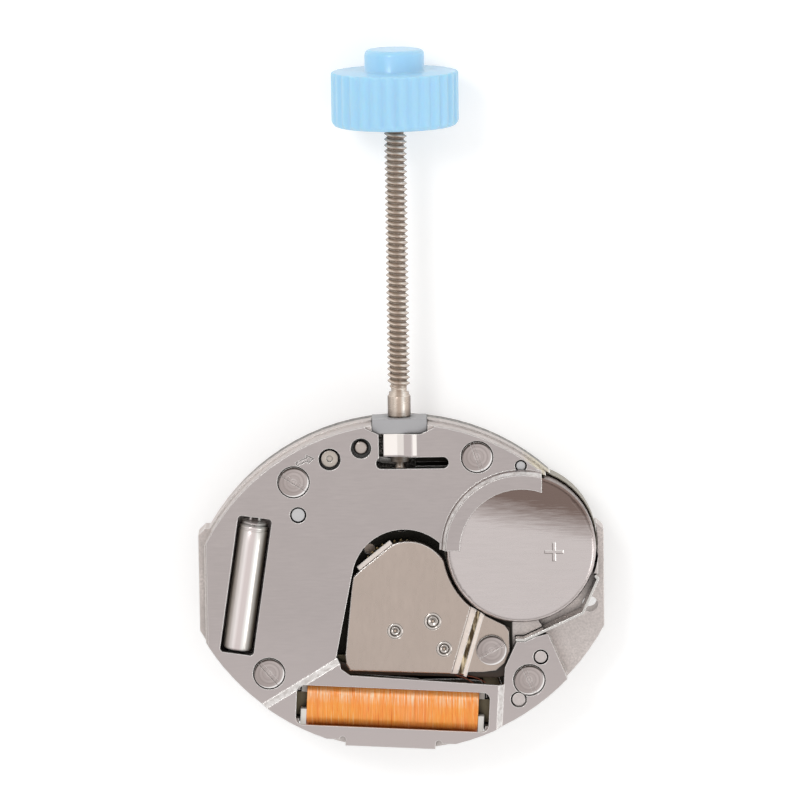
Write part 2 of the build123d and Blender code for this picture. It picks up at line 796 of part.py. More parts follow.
# Circuit under the cover
board_outline = [on_plate(shares) for shares in board_shares]
board_outline += [on_bridge(shares) for shares in foot_board_shares]
with BuildPart() as circuit_board:
    with BuildSketch(Plane.XY.offset(board_level)):
        Polygon(*board_outline, align=None)
        with Locations(on_bridge(bridge_screw_shares), on_plate(cover_screw_shares[2])):
            Circle(screw_shank_r + air_gap, mode=Mode.SUBTRACT)
    extrude(amount=board_thick)
    with BuildSketch(crystal_plane.offset(board_level)):
        with Locations((0, (can_neck_length + lead_length) / 2)):
            Rectangle(crystal_box_width, crystal_box_length)
    extrude(amount=board_thick, mode=Mode.SUBTRACT)
    with BuildSketch(coil_plane.offset(board_level)):
        with Locations((0, -winding_shift)):
            Rectangle(box_length, box_width)
            Rectangle(core_length + 2 * air_gap, core_width + 2 * air_gap)
    extrude(amount=board_thick, mode=Mode.SUBTRACT)
    round_pocket(
        intermediate_place, tip_radius(intermediate_teeth, rotor_module) + air_gap, board_level, frame_level
    )
    round_pocket((battery_x, battery_y), well_r, board_level, frame_level)
pieces["circuit_board"] = circuit_board

with BuildPart() as ic_chip:
    with BuildSketch(Plane.XY.offset(board_level - chip_high)):
        with Locations(chip_place):
            Rectangle(chip_width, chip_length)
    extrude(amount=chip_high)
pieces["ic_chip"] = ic_chip

# Plastic frame under the cover, with the pins that locate the cover
with BuildPart() as insulator_frame:
    with BuildSketch(Plane.XY.offset(frame_level)):
        lens(rim_inset + wall_thick + fit_gap, plate_half_width - ear_step - wall_thick - fit_gap)
    extrude(amount=frame_thick)
    below_y = bridge_low + bridge_length
    pocket(
        [(bridge_left + air_gap, below_y), (span, battery_y), (span, -span), (-span, -span),
         on_plate(fold_start_shares), on_bridge(fold_end_shares)],
        frame_level, cover_level,
    )
    round_pocket((arch_x, arch_y), arch_r + air_gap, frame_level, cover_level)
    round_pocket((battery_x, battery_y), well_r, frame_level, cover_level)
    with BuildSketch(crystal_plane.offset(frame_level)):
        with Locations((crystal_box_width / 2, (can_neck_length + lead_length) / 2)):
            Rectangle(span, crystal_box_length, align=(Align.MAX, Align.CENTER))
    extrude(amount=frame_thick, mode=Mode.SUBTRACT)
    with BuildSketch(coil_plane.offset(frame_level)):
        with Locations((0, -winding_shift)):
            Rectangle(box_length, box_width)
    extrude(amount=frame_thick, mode=Mode.SUBTRACT)
    # Opening over the stem and its tongue
    slot_low = groove_y
    with BuildSketch(Plane.XY.offset(frame_level)):
        with Locations((-slot_reach_left - air_gap, slot_low - air_gap)):
            Rectangle(
                slot_reach_left + slot_reach_right + 2 * air_gap, span, align=(Align.MIN, Align.MIN)
            )
    extrude(amount=frame_thick, mode=Mode.SUBTRACT)
    round_pocket(lever_place, post_cap_r + run_gap, frame_level, cover_level)
    round_pocket(spring_post_place, spring_post_r, frame_level, cover_level)
    round_pocket(lever_place, release_hole_r, cover_level - pin_groove, cover_level)
    round_pocket(spring_post_place, spring_post_hole_r, cover_level - pin_groove, cover_level)
    for shares in cover_screw_shares:
        round_pocket(on_plate(shares), dish_r + dish_wall + air_gap, cover_level - dish_depth, cover_level)
        round_pocket(on_plate(shares), screw_shank_r + air_gap, frame_level, cover_level)
    round_pocket(on_plate(pin_shares), pin_hole_r, cover_level - pin_groove, cover_level)
    shaft(on_plate(pin_shares), [(pin_hole_r - pin_gap, cover_level - pin_groove, cover_level + pin_proud)])
pieces["insulator_frame"] = insulator_frame

with BuildPart() as corner_spacer:
    with BuildSketch(Plane.XY.offset(board_level)):
        lens(rim_inset + wall_thick + fit_gap, plate_half_width - ear_step - wall_thick - fit_gap)
        Polygon(*[on_plate(shares) for shares in corner_cover_shares], align=None, mode=Mode.INTERSECT)
    extrude(amount=cover_level - board_level)
    pocket([on_plate(shares) for shares in clearing_shares], board_level, cover_level)
    strip_room(board_level, cover_level)
    with BuildSketch(coil_plane.offset(board_level)):
        with Locations((0, -winding_shift)):
            Rectangle(box_length, box_width)
            Rectangle(core_length + 2 * air_gap, core_width + 2 * air_gap)
        with Locations((0, -frame_below - tab_height + wall_thick / 2)):
            Rectangle(box_length + 2 * fit_gap, wall_thick + 2 * fit_gap)
    extrude(amount=cover_level - board_level, mode=Mode.SUBTRACT)
    with BuildSketch(Plane.XY.offset(board_level)):
        Polygon(*board_outline, align=None)
        offset(amount=air_gap)
    extrude(amount=cover_level - board_level, mode=Mode.SUBTRACT)
    round_pocket((battery_x, battery_y), well_r, board_level, cover_level)
    round_pocket(
        on_plate(cover_screw_shares[3]), dish_r + dish_wall + air_gap, cover_level - dish_depth, cover_level
    )
    round_pocket(on_plate(cover_screw_shares[3]), screw_shank_r + air_gap, board_level, cover_level)
    for shares, hole_r in zip(corner_pin_shares, corner_hole_rs):
        round_pocket(on_plate(shares), hole_r, cover_level - pin_groove, cover_level)
        shaft(on_plate(shares), [(hole_r - pin_gap, cover_level - pin_groove, cover_level + pin_proud)])
pieces["corner_spacer"] = corner_spacer

# Crystal in its can
with BuildPart() as quartz_can:
    can_end = crystal_plane.offset(can_level)
    with BuildSketch(Plane(can_end.origin - can_end.y_dir * can_length / 2, can_end.x_dir, can_end.y_dir)):
        Circle(can_r)
    extrude(amount=can_length)
    fillet(quartz_can.edges().filter_by(GeomType.CIRCLE), can_r * can_corner_share)
    with BuildSketch(Plane(can_end.origin + can_end.y_dir * can_length / 2, can_end.x_dir, can_end.y_dir)):
        Circle(can_neck_r)
    extrude(amount=can_neck_length)
pieces["quartz_can"] = quartz_can

with BuildPart() as quartz_leads:
    lead_start = can_length / 2 + can_neck_length
    with BuildSketch(Plane(can_end.origin + can_end.y_dir * lead_start, can_end.x_dir, can_end.y_dir)):
        with GridLocations(lead_spread, 0, 2, 1):
            Circle(lead_r)
    extrude(amount=lead_length)
pieces["quartz_leads"] = quartz_leads

# Coil on its core
with BuildPart() as coil_core:
    with BuildSketch(coil_plane.offset(stator_top)):
        with Locations((0, -winding_shift)):
            Rectangle(core_length, core_width)
    extrude(amount=core_thick)
    fillet(coil_core.edges().filter_by(Axis.Z), core_width / 6)
pieces["coil_core"] = coil_core

with BuildPart() as coil_bobbin:
    with BuildSketch(coil_plane.offset(winding_level - winding_high / 2)):
        for side in (-1, 1):
            with Locations((side * (winding_length + flange_thick) / 2, -winding_shift)):
                Rectangle(flange_thick, winding_width)
    extrude(amount=winding_high)
    with BuildSketch(coil_plane.offset(stator_top - bobbin_wall)):
        with Locations((0, -winding_shift)):
            Rectangle(winding_length + flange_thick, core_width + 2 * bobbin_wall)
    extrude(amount=core_thick + 2 * bobbin_wall)
    with BuildSketch(coil_plane.offset(stator_top)):
        with Locations((0, -winding_shift)):
            Rectangle(core_length, core_width)
    extrude(amount=core_thick, mode=Mode.SUBTRACT)
    # Notch in each flange that bares the end of the core
    with BuildSketch(coil_plane.offset(stator_top + core_thick)):
        for side in (-1, 1):
            with Locations((side * (winding_length + flange_thick) / 2, flange_notch_y)):
                Rectangle(flange_thick, flange_notch_width)
    extrude(amount=winding_high, mode=Mode.SUBTRACT)
pieces["coil_bobbin"] = coil_bobbin

with BuildPart() as coil_winding:
    turn_plane = Plane(
        coil_plane.origin - coil_plane.x_dir * winding_length / 2
        - coil_plane.y_dir * winding_shift + Vector(0, 0, winding_level),
        coil_plane.y_dir, coil_plane.x_dir,
    )
    with BuildSketch(turn_plane):
        RectangleRounded(winding_width, winding_high, winding_corner)
        Rectangle(core_width + 2 * bobbin_wall, core_thick + 2 * bobbin_wall, mode=Mode.SUBTRACT)
    extrude(amount=winding_length)
pieces["coil_winding"] = coil_winding

with BuildPart() as stator:
    with BuildSketch(Plane.XY.offset(train_floor)):
        stator_outline(stator_arm, 0)
        with Locations(rotor_place):
            Circle(rotor_hole_r, mode=Mode.SUBTRACT)
        for side in (-1, 1):
            with Locations(step_from(rotor_place, side * rotor_hole_r, stator_notch_angle)):
                Circle(stator_notch_r, mode=Mode.SUBTRACT)
    extrude(amount=stator_thick)
pieces["stator"] = stator

# Train bridge, a bent sheet with a lower foot
screw_place = on_bridge(bridge_screw_shares)
with BuildPart() as train_bridge:
    with BuildSketch(Plane.XY.offset(bridge_under)):
        with Locations(on_bridge(bridge_head_shares)):
            Circle(bridge_head_r)
        Polygon(*[on_bridge(shares) for shares in bridge_shares], align=None)
        Polygon(*[on_bridge(shares) for shares in head_cut_shares], align=None, mode=Mode.SUBTRACT)
        with Locations((battery_x, battery_y)):
            Circle(battery_r + bridge_gap, mode=Mode.SUBTRACT)
    extrude(amount=bridge_thick)
    chamfer(train_bridge.faces().sort_by(Axis.Z)[-1].edges(), bridge_bevel)
    # Sloped flap at the upper left, and the fold down to the foot at the right
    shoulder_level = bridge_top - bridge_bevel
    rise_start = fold_slope_width + fold_valley_width
    rise_end = rise_start + fold_rise_width
    valley_level = frame_level + fold_valley_rise
    along_edge(on_bridge(head_cut_shares[0]), on_bridge(flap_end_shares), [
        (-fit_gap, bridge_under), (flap_width, bridge_under), (flap_width, shoulder_level - flap_drop),
        (0, shoulder_level), (-fit_gap, shoulder_level),
    ])
    along_edge(on_bridge(bridge_shares[3]), on_bridge(bridge_shares[2]), [
        (-fit_gap, frame_level), (rise_end + fit_gap, frame_level),
        (rise_end + fit_gap, frame_level + foot_thick), (rise_end, frame_level + foot_thick),
        (rise_start, valley_level), (fold_slope_width, valley_level), (0, shoulder_level),
        (-fit_gap, shoulder_level),
    ])
    with BuildSketch(Plane.XY.offset(frame_level)):
        Polygon(*[on_bridge(shares) for shares in neck_shares], align=None)
    extrude(amount=foot_thick)
    round_pocket(screw_place, screw_shank_r + air_gap, frame_level, bridge_top)
    round_pocket(third_place, bush_r, bridge_under, bridge_top)
    round_pocket(intermediate_place, jewel_r, bridge_under, bridge_top)
    round_pocket(rotor_place, bush_r, bridge_under, bridge_top)
    round_pocket((battery_x, battery_y), battery_r + bridge_gap, frame_level, bridge_top)
pieces["train_bridge"] = train_bridge


def bush(place, outer_r):
    """Bush or jewel with a pivot hole and a cup for oil in the open part."""
    shaft(place, [(outer_r, bridge_under, bridge_top + bush_proud)])
    round_pocket(place, pivot_r + fit_gap, bridge_under, bridge_top + bush_proud)
    round_pocket(place, outer_r * cup_share, bridge_top - cup_depth, bridge_top + bush_proud)


with BuildPart() as pivot_bushes:
    bush(third_place, bush_r)
    bush(rotor_place, bush_r)
pieces["pivot_bushes"] = pivot_bushes

with BuildPart() as pivot_jewel:
    bush(intermediate_place, jewel_r)
pieces["pivot_jewel"] = pivot_jewel

# Slotted screws
def screw(place, seat, slot_angle):
    """Slotted screw with a flat head on its seat in the open part."""
    shaft(place, [(screw_shank_r, seat - screw_depth, seat)])
    shaft(place, [(screw_head_r, seat, seat + screw_head_high)])
    slot_plane = Plane((place[0], place[1], seat + screw_head_high - screw_slot_depth))
    with BuildSketch(slot_plane) as slot:
        Rectangle(2 * (screw_head_r + overrun), screw_slot, rotation=slot_angle)
    extrude(slot.sketch, amount=screw_slot_depth, mode=Mode.SUBTRACT)


with BuildPart() as cover_screws:
    for shares, angle in zip(cover_screw_shares, cover_slot_angles):
        screw(on_plate(shares), cover_level, angle)
pieces["cover_screws"] = cover_screws

with BuildPart() as bridge_screw:
    screw(screw_place, frame_level + foot_thick, bridge_slot_angle)
pieces["bridge_screw"] = bridge_screw

# Cell
with BuildPart() as battery_can:
    can_base = battery_base + 2 * cap_step
    shaft((battery_x, battery_y), [(battery_r, can_base, battery_top)])
    fillet(battery_can.edges().sort_by(Axis.Z)[-1], battery_corner)
    round_pocket((battery_x, battery_y), battery_r - battery_skin, can_base, battery_top - battery_skin)
pieces["battery_can"] = battery_can

with BuildPart() as battery_cap:
    shaft((battery_x, battery_y), [(cap_r, battery_base, battery_base + cap_step)])
    inner_r = battery_r - battery_skin - gasket_thick
    shaft((battery_x, battery_y), [(inner_r, battery_base + cap_step, battery_top - battery_skin)])
pieces["battery_cap"] = battery_cap

with BuildPart() as battery_gasket:
    shaft((battery_x, battery_y), [(battery_r - battery_skin, can_base, battery_top - battery_skin)])
    round_pocket((battery_x, battery_y), inner_r, can_base, battery_top - battery_skin)
pieces["battery_gasket"] = battery_gasket

with BuildPart() as battery_insulator:
    shaft((battery_x, battery_y), [(well_r - fit_gap, 0, insulator_floor)])
    shaft((battery_x, battery_y), [(well_r - fit_gap, insulator_floor, ledge_level)])
    round_pocket((battery_x, battery_y), well_r - fit_gap - insulator_wall, insulator_floor, ledge_level)
pieces["battery_insulator"] = battery_insulator

with BuildPart() as negative_contact:
    shaft((battery_x, battery_y), [(cap_r * contact_share, insulator_floor, battery_base)])
    for angle in (0, 120, 240):
        round_pocket(
            step_from((battery_x, battery_y), cap_r * contact_share / 2, angle),
            cap_r * contact_share / 4, insulator_floor, battery_base,
        )
pieces["negative_contact"] = negative_contact

with BuildPart() as positive_contact:
    with BuildSketch(Plane.XY.offset(ledge_level)):
        strip_outline(strip_points, strip_thick)
    extrude(amount=cover_level + sheet_thick - ledge_level)
pieces["positive_contact"] = positive_contact

# Cover plate, one stamped sheet
cover_top = cover_level + sheet_thick
coil_roof = cover_level + coil_frame_rise
fold_start = on_plate(fold_start_shares)
fold_end = on_bridge(fold_end_shares)
fold_length = hypot(fold_end[0] - fold_start[0], fold_end[1] - fold_start[1])
fold_x = (fold_end[0] - fold_start[0]) / fold_length
fold_y = (fold_end[1] - fold_start[1]) / fold_length
fold_plane = Plane((fold_start[0], fold_start[1], 0), x_dir=(-fold_y, fold_x, 0), z_dir=(fold_x, fold_y, 0))
stripe_u = coil_plane.to_local_coords(Vector(*on_bridge(coil_frame_shares[3]))).X
bend_r = battery_r + lip_clear + lip_bend_width
edge_x = battery_x + lip_edge_x
notch_low = plate_top - notch_depth
slot_width = slot_reach_left + slot_reach_right
slot_top = slot_low + slot_height


def fold_profile(width, start, drop):
    """Corners of a sheet that steps from one level to another."""
    return [
        (-fit_gap, start), (0, start), (width, start + drop), (width + fit_gap, start + drop),
        (width + fit_gap, start + drop + sheet_thick), (width, start + drop + sheet_thick),
        (0, start + sheet_thick), (-fit_gap, start + sheet_thick),
    ]


with BuildPart() as cover_plate:
    # Flat sheet left of the arch and above the cell
    with BuildSketch(Plane.XY.offset(cover_level)):
        lens(cover_inset, plate_half_width - ear_step - cover_inset)
        Polygon(
            (edge_x, span), (span, span), (span, -span), (arch_x, -span), (arch_x, battery_y),
            (edge_x, battery_y), align=None, mode=Mode.SUBTRACT,
        )
        with Locations((battery_x, battery_y)):
            Circle(bend_r, mode=Mode.SUBTRACT)
        with Locations((arch_x, arch_y)):
            Circle(arch_r, mode=Mode.SUBTRACT)
        Polygon(*[on_bridge(shares) for shares in arch_side_shares], align=None, mode=Mode.SUBTRACT)
        Polygon(
            (fold_start[0], -span), fold_start, fold_end, (arch_x, fold_end[1]), (arch_x, -span),
            align=None, mode=Mode.SUBTRACT,
        )
        # Notch over the stem, the slot and the slit of the tongue
        Polygon(
            (-notch_half_width, span), (-notch_half_width, notch_low + notch_depth * notch_lift_share),
            (-notch_half_width * notch_share, notch_low), (notch_half_width * notch_share, notch_low),
            (notch_half_width, notch_low + notch_depth * notch_lift_share), (notch_half_width, span),
            align=None, mode=Mode.SUBTRACT,
        )
        with Locations((slot_width / 2 - slot_reach_left, (slot_low + slot_top) / 2)):
            SlotOverall(slot_width, slot_height, mode=Mode.SUBTRACT)
        with Locations((-tongue_tip_x - tongue_slit, slot_top - fit_gap)):
            Rectangle(
                tongue_tip_x + tongue_slit + tongue_fold_x, notch_low - slot_top + 2 * fit_gap,
                align=(Align.MIN, Align.MIN), mode=Mode.SUBTRACT,
            )
    extrude(amount=sheet_thick)
    # Corner beside the coil and the cell
    with BuildSketch(Plane.XY.offset(cover_level)):
        Polygon(*[on_plate(shares) for shares in corner_cover_shares], align=None)
        with Locations(coil_plane.location):
            with Locations((stripe_u + stripe_width - span / 2, 0)):
                Rectangle(span, span, mode=Mode.SUBTRACT)
    extrude(amount=sheet_thick)
    strip_room(cover_level, cover_top)
    # Raised frame round the coil
    lift_start = (fold_start[0] + fold_y * stripe_width, fold_start[1] - fold_x * stripe_width)
    lift_end = (fold_end[0] + fold_y * stripe_width, fold_end[1] - fold_x * stripe_width)
    stripe_foot = coil_plane.from_local_coords(Vector(stripe_u, -bottom_arc_r, 0))
    with BuildSketch(Plane.XY.offset(coil_roof)):
        Polygon(
            lift_start, lift_end, *[on_bridge(shares) for shares in coil_frame_shares[1:]],
            (stripe_foot.X, stripe_foot.Y), (lift_start[0], stripe_foot.Y), align=None,
        )
    extrude(amount=sheet_thick)
    # Folds on both sides of the frame
    with BuildSketch(fold_plane):
        Polygon(*[(-u, z) for u, z in fold_profile(stripe_width, cover_level, coil_frame_rise)], align=None)
    extrude(amount=fold_length)
    stripe_top = coil_plane.to_local_coords(Vector(*on_bridge(coil_frame_shares[3]))).Y
    stripe_plane = Plane(
        coil_plane.from_local_coords(Vector(stripe_u, stripe_top, 0)), coil_plane.x_dir, -coil_plane.y_dir
    )
    with BuildSketch(stripe_plane):
        Polygon(*fold_profile(stripe_width, coil_roof, -coil_frame_rise), align=None)
    extrude(amount=bottom_arc_r / 2)
    # Outer edge, and the flat edge below the coil
    with BuildSketch(Plane.XY.offset(cover_level)):
        lens(cover_inset, plate_half_width - ear_step - cover_inset)
    extrude(amount=coil_frame_rise + sheet_thick, mode=Mode.INTERSECT)
    with BuildSketch(coil_plane.offset(cover_level)):
        with Locations((0, -frame_below - span / 2)):
            Rectangle(span, span)
    extrude(amount=coil_frame_rise + sheet_thick, mode=Mode.SUBTRACT)
    # Tab with a small round notch at each end
    with BuildSketch(coil_plane.offset(coil_roof)):
        with Locations((tab_start, -frame_below + fit_gap)):
            Rectangle(tab_length, tab_height + fit_gap, align=(Align.MIN, Align.MAX))
    extrude(amount=sheet_thick)
    with BuildSketch(coil_plane.offset(coil_roof)):
        for notch_place in (tab_start - tab_notch_r, tab_start + tab_length + tab_notch_r):
            with Locations((notch_place, -frame_below)):
                Circle(tab_notch_r)
    extrude(amount=sheet_thick, mode=Mode.SUBTRACT)
    with BuildSketch(coil_plane.offset(coil_roof)):
        RectangleRounded(
            winding_length + 2 * coil_window_margin, coil_window_width, coil_window_corner
        )
    extrude(amount=sheet_thick, mode=Mode.SUBTRACT)
    # Lip that bends up over the rim of the cell
    lip_inner = battery_r - lip_width - lip_foot
    start_cos = cos(radians(lip_start_angle))
    start_sin = sin(radians(lip_start_angle))
    with BuildSketch(
        Plane((battery_x, battery_y, 0), x_dir=(start_cos, start_sin, 0), z_dir=(start_sin, -start_cos, 0))
    ):
        Polygon(
            (lip_inner, battery_top), (battery_r - lip_foot, battery_top), (bend_r - lip_foot, cover_level),
            (bend_r + lip_foot, cover_level), (bend_r + lip_foot, cover_top), (bend_r, cover_top),
            (battery_r + lip_clear, battery_top + sheet_thick), (lip_inner, battery_top + sheet_thick),
            align=None,
        )
    revolve(
        axis=Axis((battery_x, battery_y, 0), (0, 0, 1)), revolution_arc=lip_end_angle - lip_start_angle
    )
    with BuildSketch(Plane.XY.offset(cover_level)):
        with Locations((edge_x, battery_y)):
            Rectangle(span, span, align=(Align.MIN, Align.MIN))
    extrude(amount=span, mode=Mode.SUBTRACT)
    # Tongue that springs down towards the stem
    with BuildSketch(Plane((tongue_fold_x, slot_top, 0), x_dir=(-1, 0, 0), z_dir=(0, 1, 0))):
        Polygon(
            (-fit_gap, cover_level), (0, cover_level), (tongue_slope_width, cover_level - tongue_drop),
            (tongue_fold_x + tongue_tip_x, cover_level - tongue_drop),
            (tongue_fold_x + tongue_tip_x, cover_top - tongue_drop),
            (tongue_slope_width, cover_top - tongue_drop), (0, cover_top), (-fit_gap, cover_top), align=None,
        )
    extrude(amount=notch_low - slot_top)
    # Dished seats of the screws
    for shares in cover_screw_shares:
        shaft(on_plate(shares), [(dish_r + dish_wall, cover_level - dish_depth, cover_top)])
        round_pocket(on_plate(shares), dish_r, cover_level, cover_top)
        round_pocket(on_plate(shares), screw_shank_r + air_gap, cover_level - dish_depth, cover_level)
    # Holes over the pins and posts, and the window of the crystal
    for shares, hole_r in zip(corner_pin_shares, corner_hole_rs):
        round_pocket(on_plate(shares), hole_r, cover_level, cover_top)
    round_pocket(on_plate(pin_shares), pin_hole_r, cover_level, cover_top)
    round_pocket(dowel_place, dowel_hole_r, cover_level, cover_top)
    round_pocket(lever_place, release_hole_r, cover_level, cover_top)
    round_pocket(spring_post_place, spring_post_hole_r, cover_level, cover_top)
    with BuildSketch(crystal_plane.offset(cover_level)):
        with Locations((0, window_shift)):
            RectangleRounded(
                2 * (can_r + window_side_gap), can_length + 2 * window_end_gap, window_corner
            )
    extrude(amount=sheet_thick, mode=Mode.SUBTRACT)
    # Arrow that points at the release post
    arrow_points = [on_plate(shares) for shares in arrow_shares]
    with BuildSketch(Plane.XY.offset(cover_top - arrow_depth)):
        strip_outline(arrow_points + arrow_points[:1], arrow_line)
    extrude(amount=arrow_depth, mode=Mode.SUBTRACT)
pieces["cover_plate"] = cover_plate

# Light plastic guide round the stem
with BuildPart() as stem_guide:
    with BuildSketch(Plane.XY.offset(stem_floor)):
        with Locations((0, guide_inner)):
            Rectangle(2 * (guide_half_width - fit_gap), guide_depth, align=(Align.CENTER, Align.MIN))
    extrude(amount=cover_level - air_gap - stem_floor)
    with BuildSketch(across_stem(guide_inner)):
        Circle(journal_r + run_gap)
    extrude(amount=guide_depth, mode=Mode.SUBTRACT)
pieces["stem_guide"] = stem_guide


def along_stem(steps, mode=Mode.ADD):
    """Turned steps about the stem axis in the open part, each with its radius and two places on +Y."""
    for radius, near, far in steps:
        with BuildSketch(across_stem(near)) as disc:
            Circle(radius)
        extrude(disc.sketch, amount=far - near, mode=mode)


with BuildPart() as stem:
    square_end = groove_y - groove_width / 2 - shoulder_length
    with BuildSketch(across_stem(stem_end)):
        Rectangle(square_across, square_across)
    extrude(amount=square_end - stem_end)
    along_stem([
        (rod_r, square_end, groove_y - groove_width / 2),
        (groove_r, groove_y - groove_width / 2, groove_y + groove_width / 2),
        (rod_r, groove_y + groove_width / 2, collar_start - journal_length),
        (journal_r, collar_start - journal_length, collar_start),
        (collar_r, collar_start, collar_start + collar_length),
        (journal_r, collar_start + collar_length, thread_start),
    ])
    # Thread as one ridge for each turn
    turns = round(thread_length / thread_pitch)
    thread_profile = [(0, 0)]
    for turn in range(turns):
        start = turn * thread_pitch
        thread_profile += [
            (thread_root_r, start), (thread_root_r, start + thread_pitch * root_flat_share),
            (thread_r, start + thread_pitch * crest_start_share),
            (thread_r, start + thread_pitch * crest_end_share),
        ]
    thread_profile += [(thread_root_r, turns * thread_pitch), (0, turns * thread_pitch)]
    with BuildSketch(Plane((0, thread_start, stem_level))):
        Polygon(*thread_profile, align=None)
    revolve(axis=Axis((0, 0, stem_level), (0, 1, 0)))
pieces["stem"] = stem

# Knob for setting, pressed on the end of the stem
knob_top = knob_start + knob_high
with BuildPart() as setting_knob:
    with BuildSketch(across_stem(knob_start)):
        Circle(knob_r)
        with PolarLocations(knob_r + flute_r - flute_depth, flute_count):
            Circle(flute_r, mode=Mode.SUBTRACT)
    extrude(amount=knob_high)
    with BuildSketch(Plane((0, knob_start, stem_level))):
        with BuildLine():
            Line((0, 0), (knob_r - knob_corner, 0))
            TangentArc((knob_r - knob_corner, 0), (knob_r, knob_corner), tangent=(1, 0))
            Line((knob_r, knob_corner), (knob_r, knob_high))
            Line((knob_r, knob_high), (0, knob_high))
            Line((0, knob_high), (0, 0))
        make_face()
    revolve(axis=Axis((0, 0, stem_level), (0, 1, 0)), mode=Mode.INTERSECT)
    with BuildSketch(across_stem(knob_top)):
        Circle(boss_r)
    extrude(amount=boss_high)
    fillet(setting_knob.edges().sort_by(Axis.Y)[-1], boss_corner)
    along_stem([(thread_r, knob_start, thread_start + turns * thread_pitch)], mode=Mode.SUBTRACT)
pieces["setting_knob"] = setting_knob

with BuildPart() as sliding_pinion:
    half_teeth = (clutch_length - clutch_waist) / 2
    along_stem([(clutch_waist_r, clutch_low, clutch_high), (clutch_r, waist_low + clutch_waist, clutch_high)])
    with BuildSketch(across_stem(clutch_low)):
        Polygon(*tooth_points(clutch_teeth, clutch_module, 0), align=None)
    extrude(amount=half_teeth)
    with BuildSketch(across_stem(clutch_low)):
        Rectangle(square_across + 2 * fit_gap, square_across + 2 * fit_gap)
    extrude(amount=clutch_length, mode=Mode.SUBTRACT)
pieces["sliding_pinion"] = sliding_pinion

# Yoke, whose fork stands in the waist of the sliding pinion
with BuildPart() as yoke:
    fork_y = waist_low + clutch_waist / 2
    with BuildSketch(Plane.XY.offset(lever_level)):
        with Locations((-yoke_reach, yoke_low)):
            Rectangle(yoke_reach + clutch_r, yoke_width, align=(Align.MIN, Align.MIN))
    extrude(amount=yoke_thick)
    with BuildSketch(Plane.XY.offset(lever_level)):
        for side in (-1, 1):
            with Locations((side * (clutch_waist_r + run_gap + fork_thick / 2), fork_y)):
                Rectangle(fork_thick, clutch_waist - 2 * run_gap)
    extrude(amount=stem_level - lever_level)
    with BuildSketch(Plane.XY.offset(lever_level)):
        with Locations((-yoke_reach, yoke_low + yoke_width - fork_thick)):
            Rectangle(fork_thick * 2, fork_thick, align=(Align.MIN, Align.MIN))
    extrude(amount=stem_level - lever_level)
pieces["yoke"] = yoke

with BuildPart() as spring_post:
    shaft(spring_post_place, [(spring_post_r, stem_level, cover_level - air_gap)])
    fillet(spring_post.edges().sort_by(Axis.Z)[-1], spring_post_r / 3)
pieces["spring_post"] = spring_post

with BuildPart() as yoke_spring:
    tab_y = yoke_low + yoke_width + run_gap + spring_thick / 2
    with BuildSketch(Plane.XY.offset(stem_level - spring_high)):
        strip_outline(
            [spring_post_place,
             (-yoke_reach * spring_bow_share, (spring_post_place[1] + tab_y) / 2),
             (-yoke_reach + fork_thick, tab_y)],
            spring_thick,
        )
        with Locations(spring_post_place):
            Circle(spring_post_r)
    extrude(amount=spring_high)
pieces["yoke_spring"] = yoke_spring

# Release post and the setting lever that it carries
with BuildPart() as release_post:
    foot_low = lever_level - fit_gap - post_foot_high
    lever_top = lever_level + lever_thick
    shaft(lever_place, [
        (post_foot_r, foot_low, lever_level - fit_gap),
        (post_neck_r, lever_level - fit_gap, lever_top + fit_gap),
        (post_cap_r, lever_top + fit_gap, cover_level - air_gap),
    ])
    round_pocket(lever_place, dimple_r, cover_level - 2 * air_gap, cover_level - air_gap)
pieces["release_post"] = release_post

with BuildPart() as setting_lever:
    lever_turn = degrees(atan2(groove_y - lever_place[1], -lever_place[0]))
    nose_place = step_from(lever_place, lever_length, lever_turn)
    with BuildSketch(Plane.XY.offset(lever_level)):
        with Locations(lever_place):
            Circle(lever_hub_r)
        strip_outline([lever_place, nose_place], lever_arm)
        with Locations(lever_place):
            Circle(post_neck_r + fit_gap, mode=Mode.SUBTRACT)
    extrude(amount=lever_thick)
    shaft(nose_place, [(nose_r, lever_level, stem_level - groove_r - run_gap)])
pieces["setting_lever"] = setting_lever


def wheel_disc(place, low, teeth, module, phase, hole_r):
    """Thin toothed wheel with round crossings in the open part."""
    toothed_disc(place, low, low + wheel_thick, teeth, module, phase)
    pitch_r = module * teeth / 2
    for number in range(wheel_crossings):
        spot = step_from(place, pitch_r * crossing_place_share, 360 * number / wheel_crossings)
        round_pocket(spot, pitch_r * crossing_share, low, low + wheel_thick)
    round_pocket(place, hole_r, low, low + wheel_thick)


# Going train
with BuildPart() as rotor_magnet:
    shaft(rotor_place, [(magnet_r, magnet_low, magnet_low + magnet_high)])
    round_pocket(rotor_place, arbor_r, magnet_low, magnet_low + magnet_high)
pieces["rotor_magnet"] = rotor_magnet


def pinion_arbor(place, bottom, top, teeth_low, teeth_high, module, phase):
    """Arbor with a pivot at each end and a pinion on it, in the open part."""
    shaft(place, [
        (pivot_r, bottom - wheel_thick, bottom),
        (arbor_r, bottom, top),
        (pivot_r, top, bridge_top - run_gap),
    ])
    toothed_disc(place, teeth_low, teeth_high, pinion_teeth, module, phase)


with BuildPart() as rotor_pinion:
    pinion_arbor(
        rotor_place, magnet_low, pinion_high, rotor_pinion_low, intermediate_low + wheel_thick + air_gap,
        rotor_module, rotor_phase,
    )
pieces["rotor_pinion"] = rotor_pinion

with BuildPart() as intermediate_wheel:
    wheel_disc(
        intermediate_place, intermediate_low, intermediate_teeth, rotor_module, intermediate_phase, arbor_r
    )
pieces["intermediate_wheel"] = intermediate_wheel

with BuildPart() as intermediate_pinion:
    pinion_arbor(
        intermediate_place, magnet_low, pinion_high, intermediate_pinion_low, pinion_high - fit_gap,
        third_module, intermediate_pinion_phase,
    )
pieces["intermediate_pinion"] = intermediate_pinion

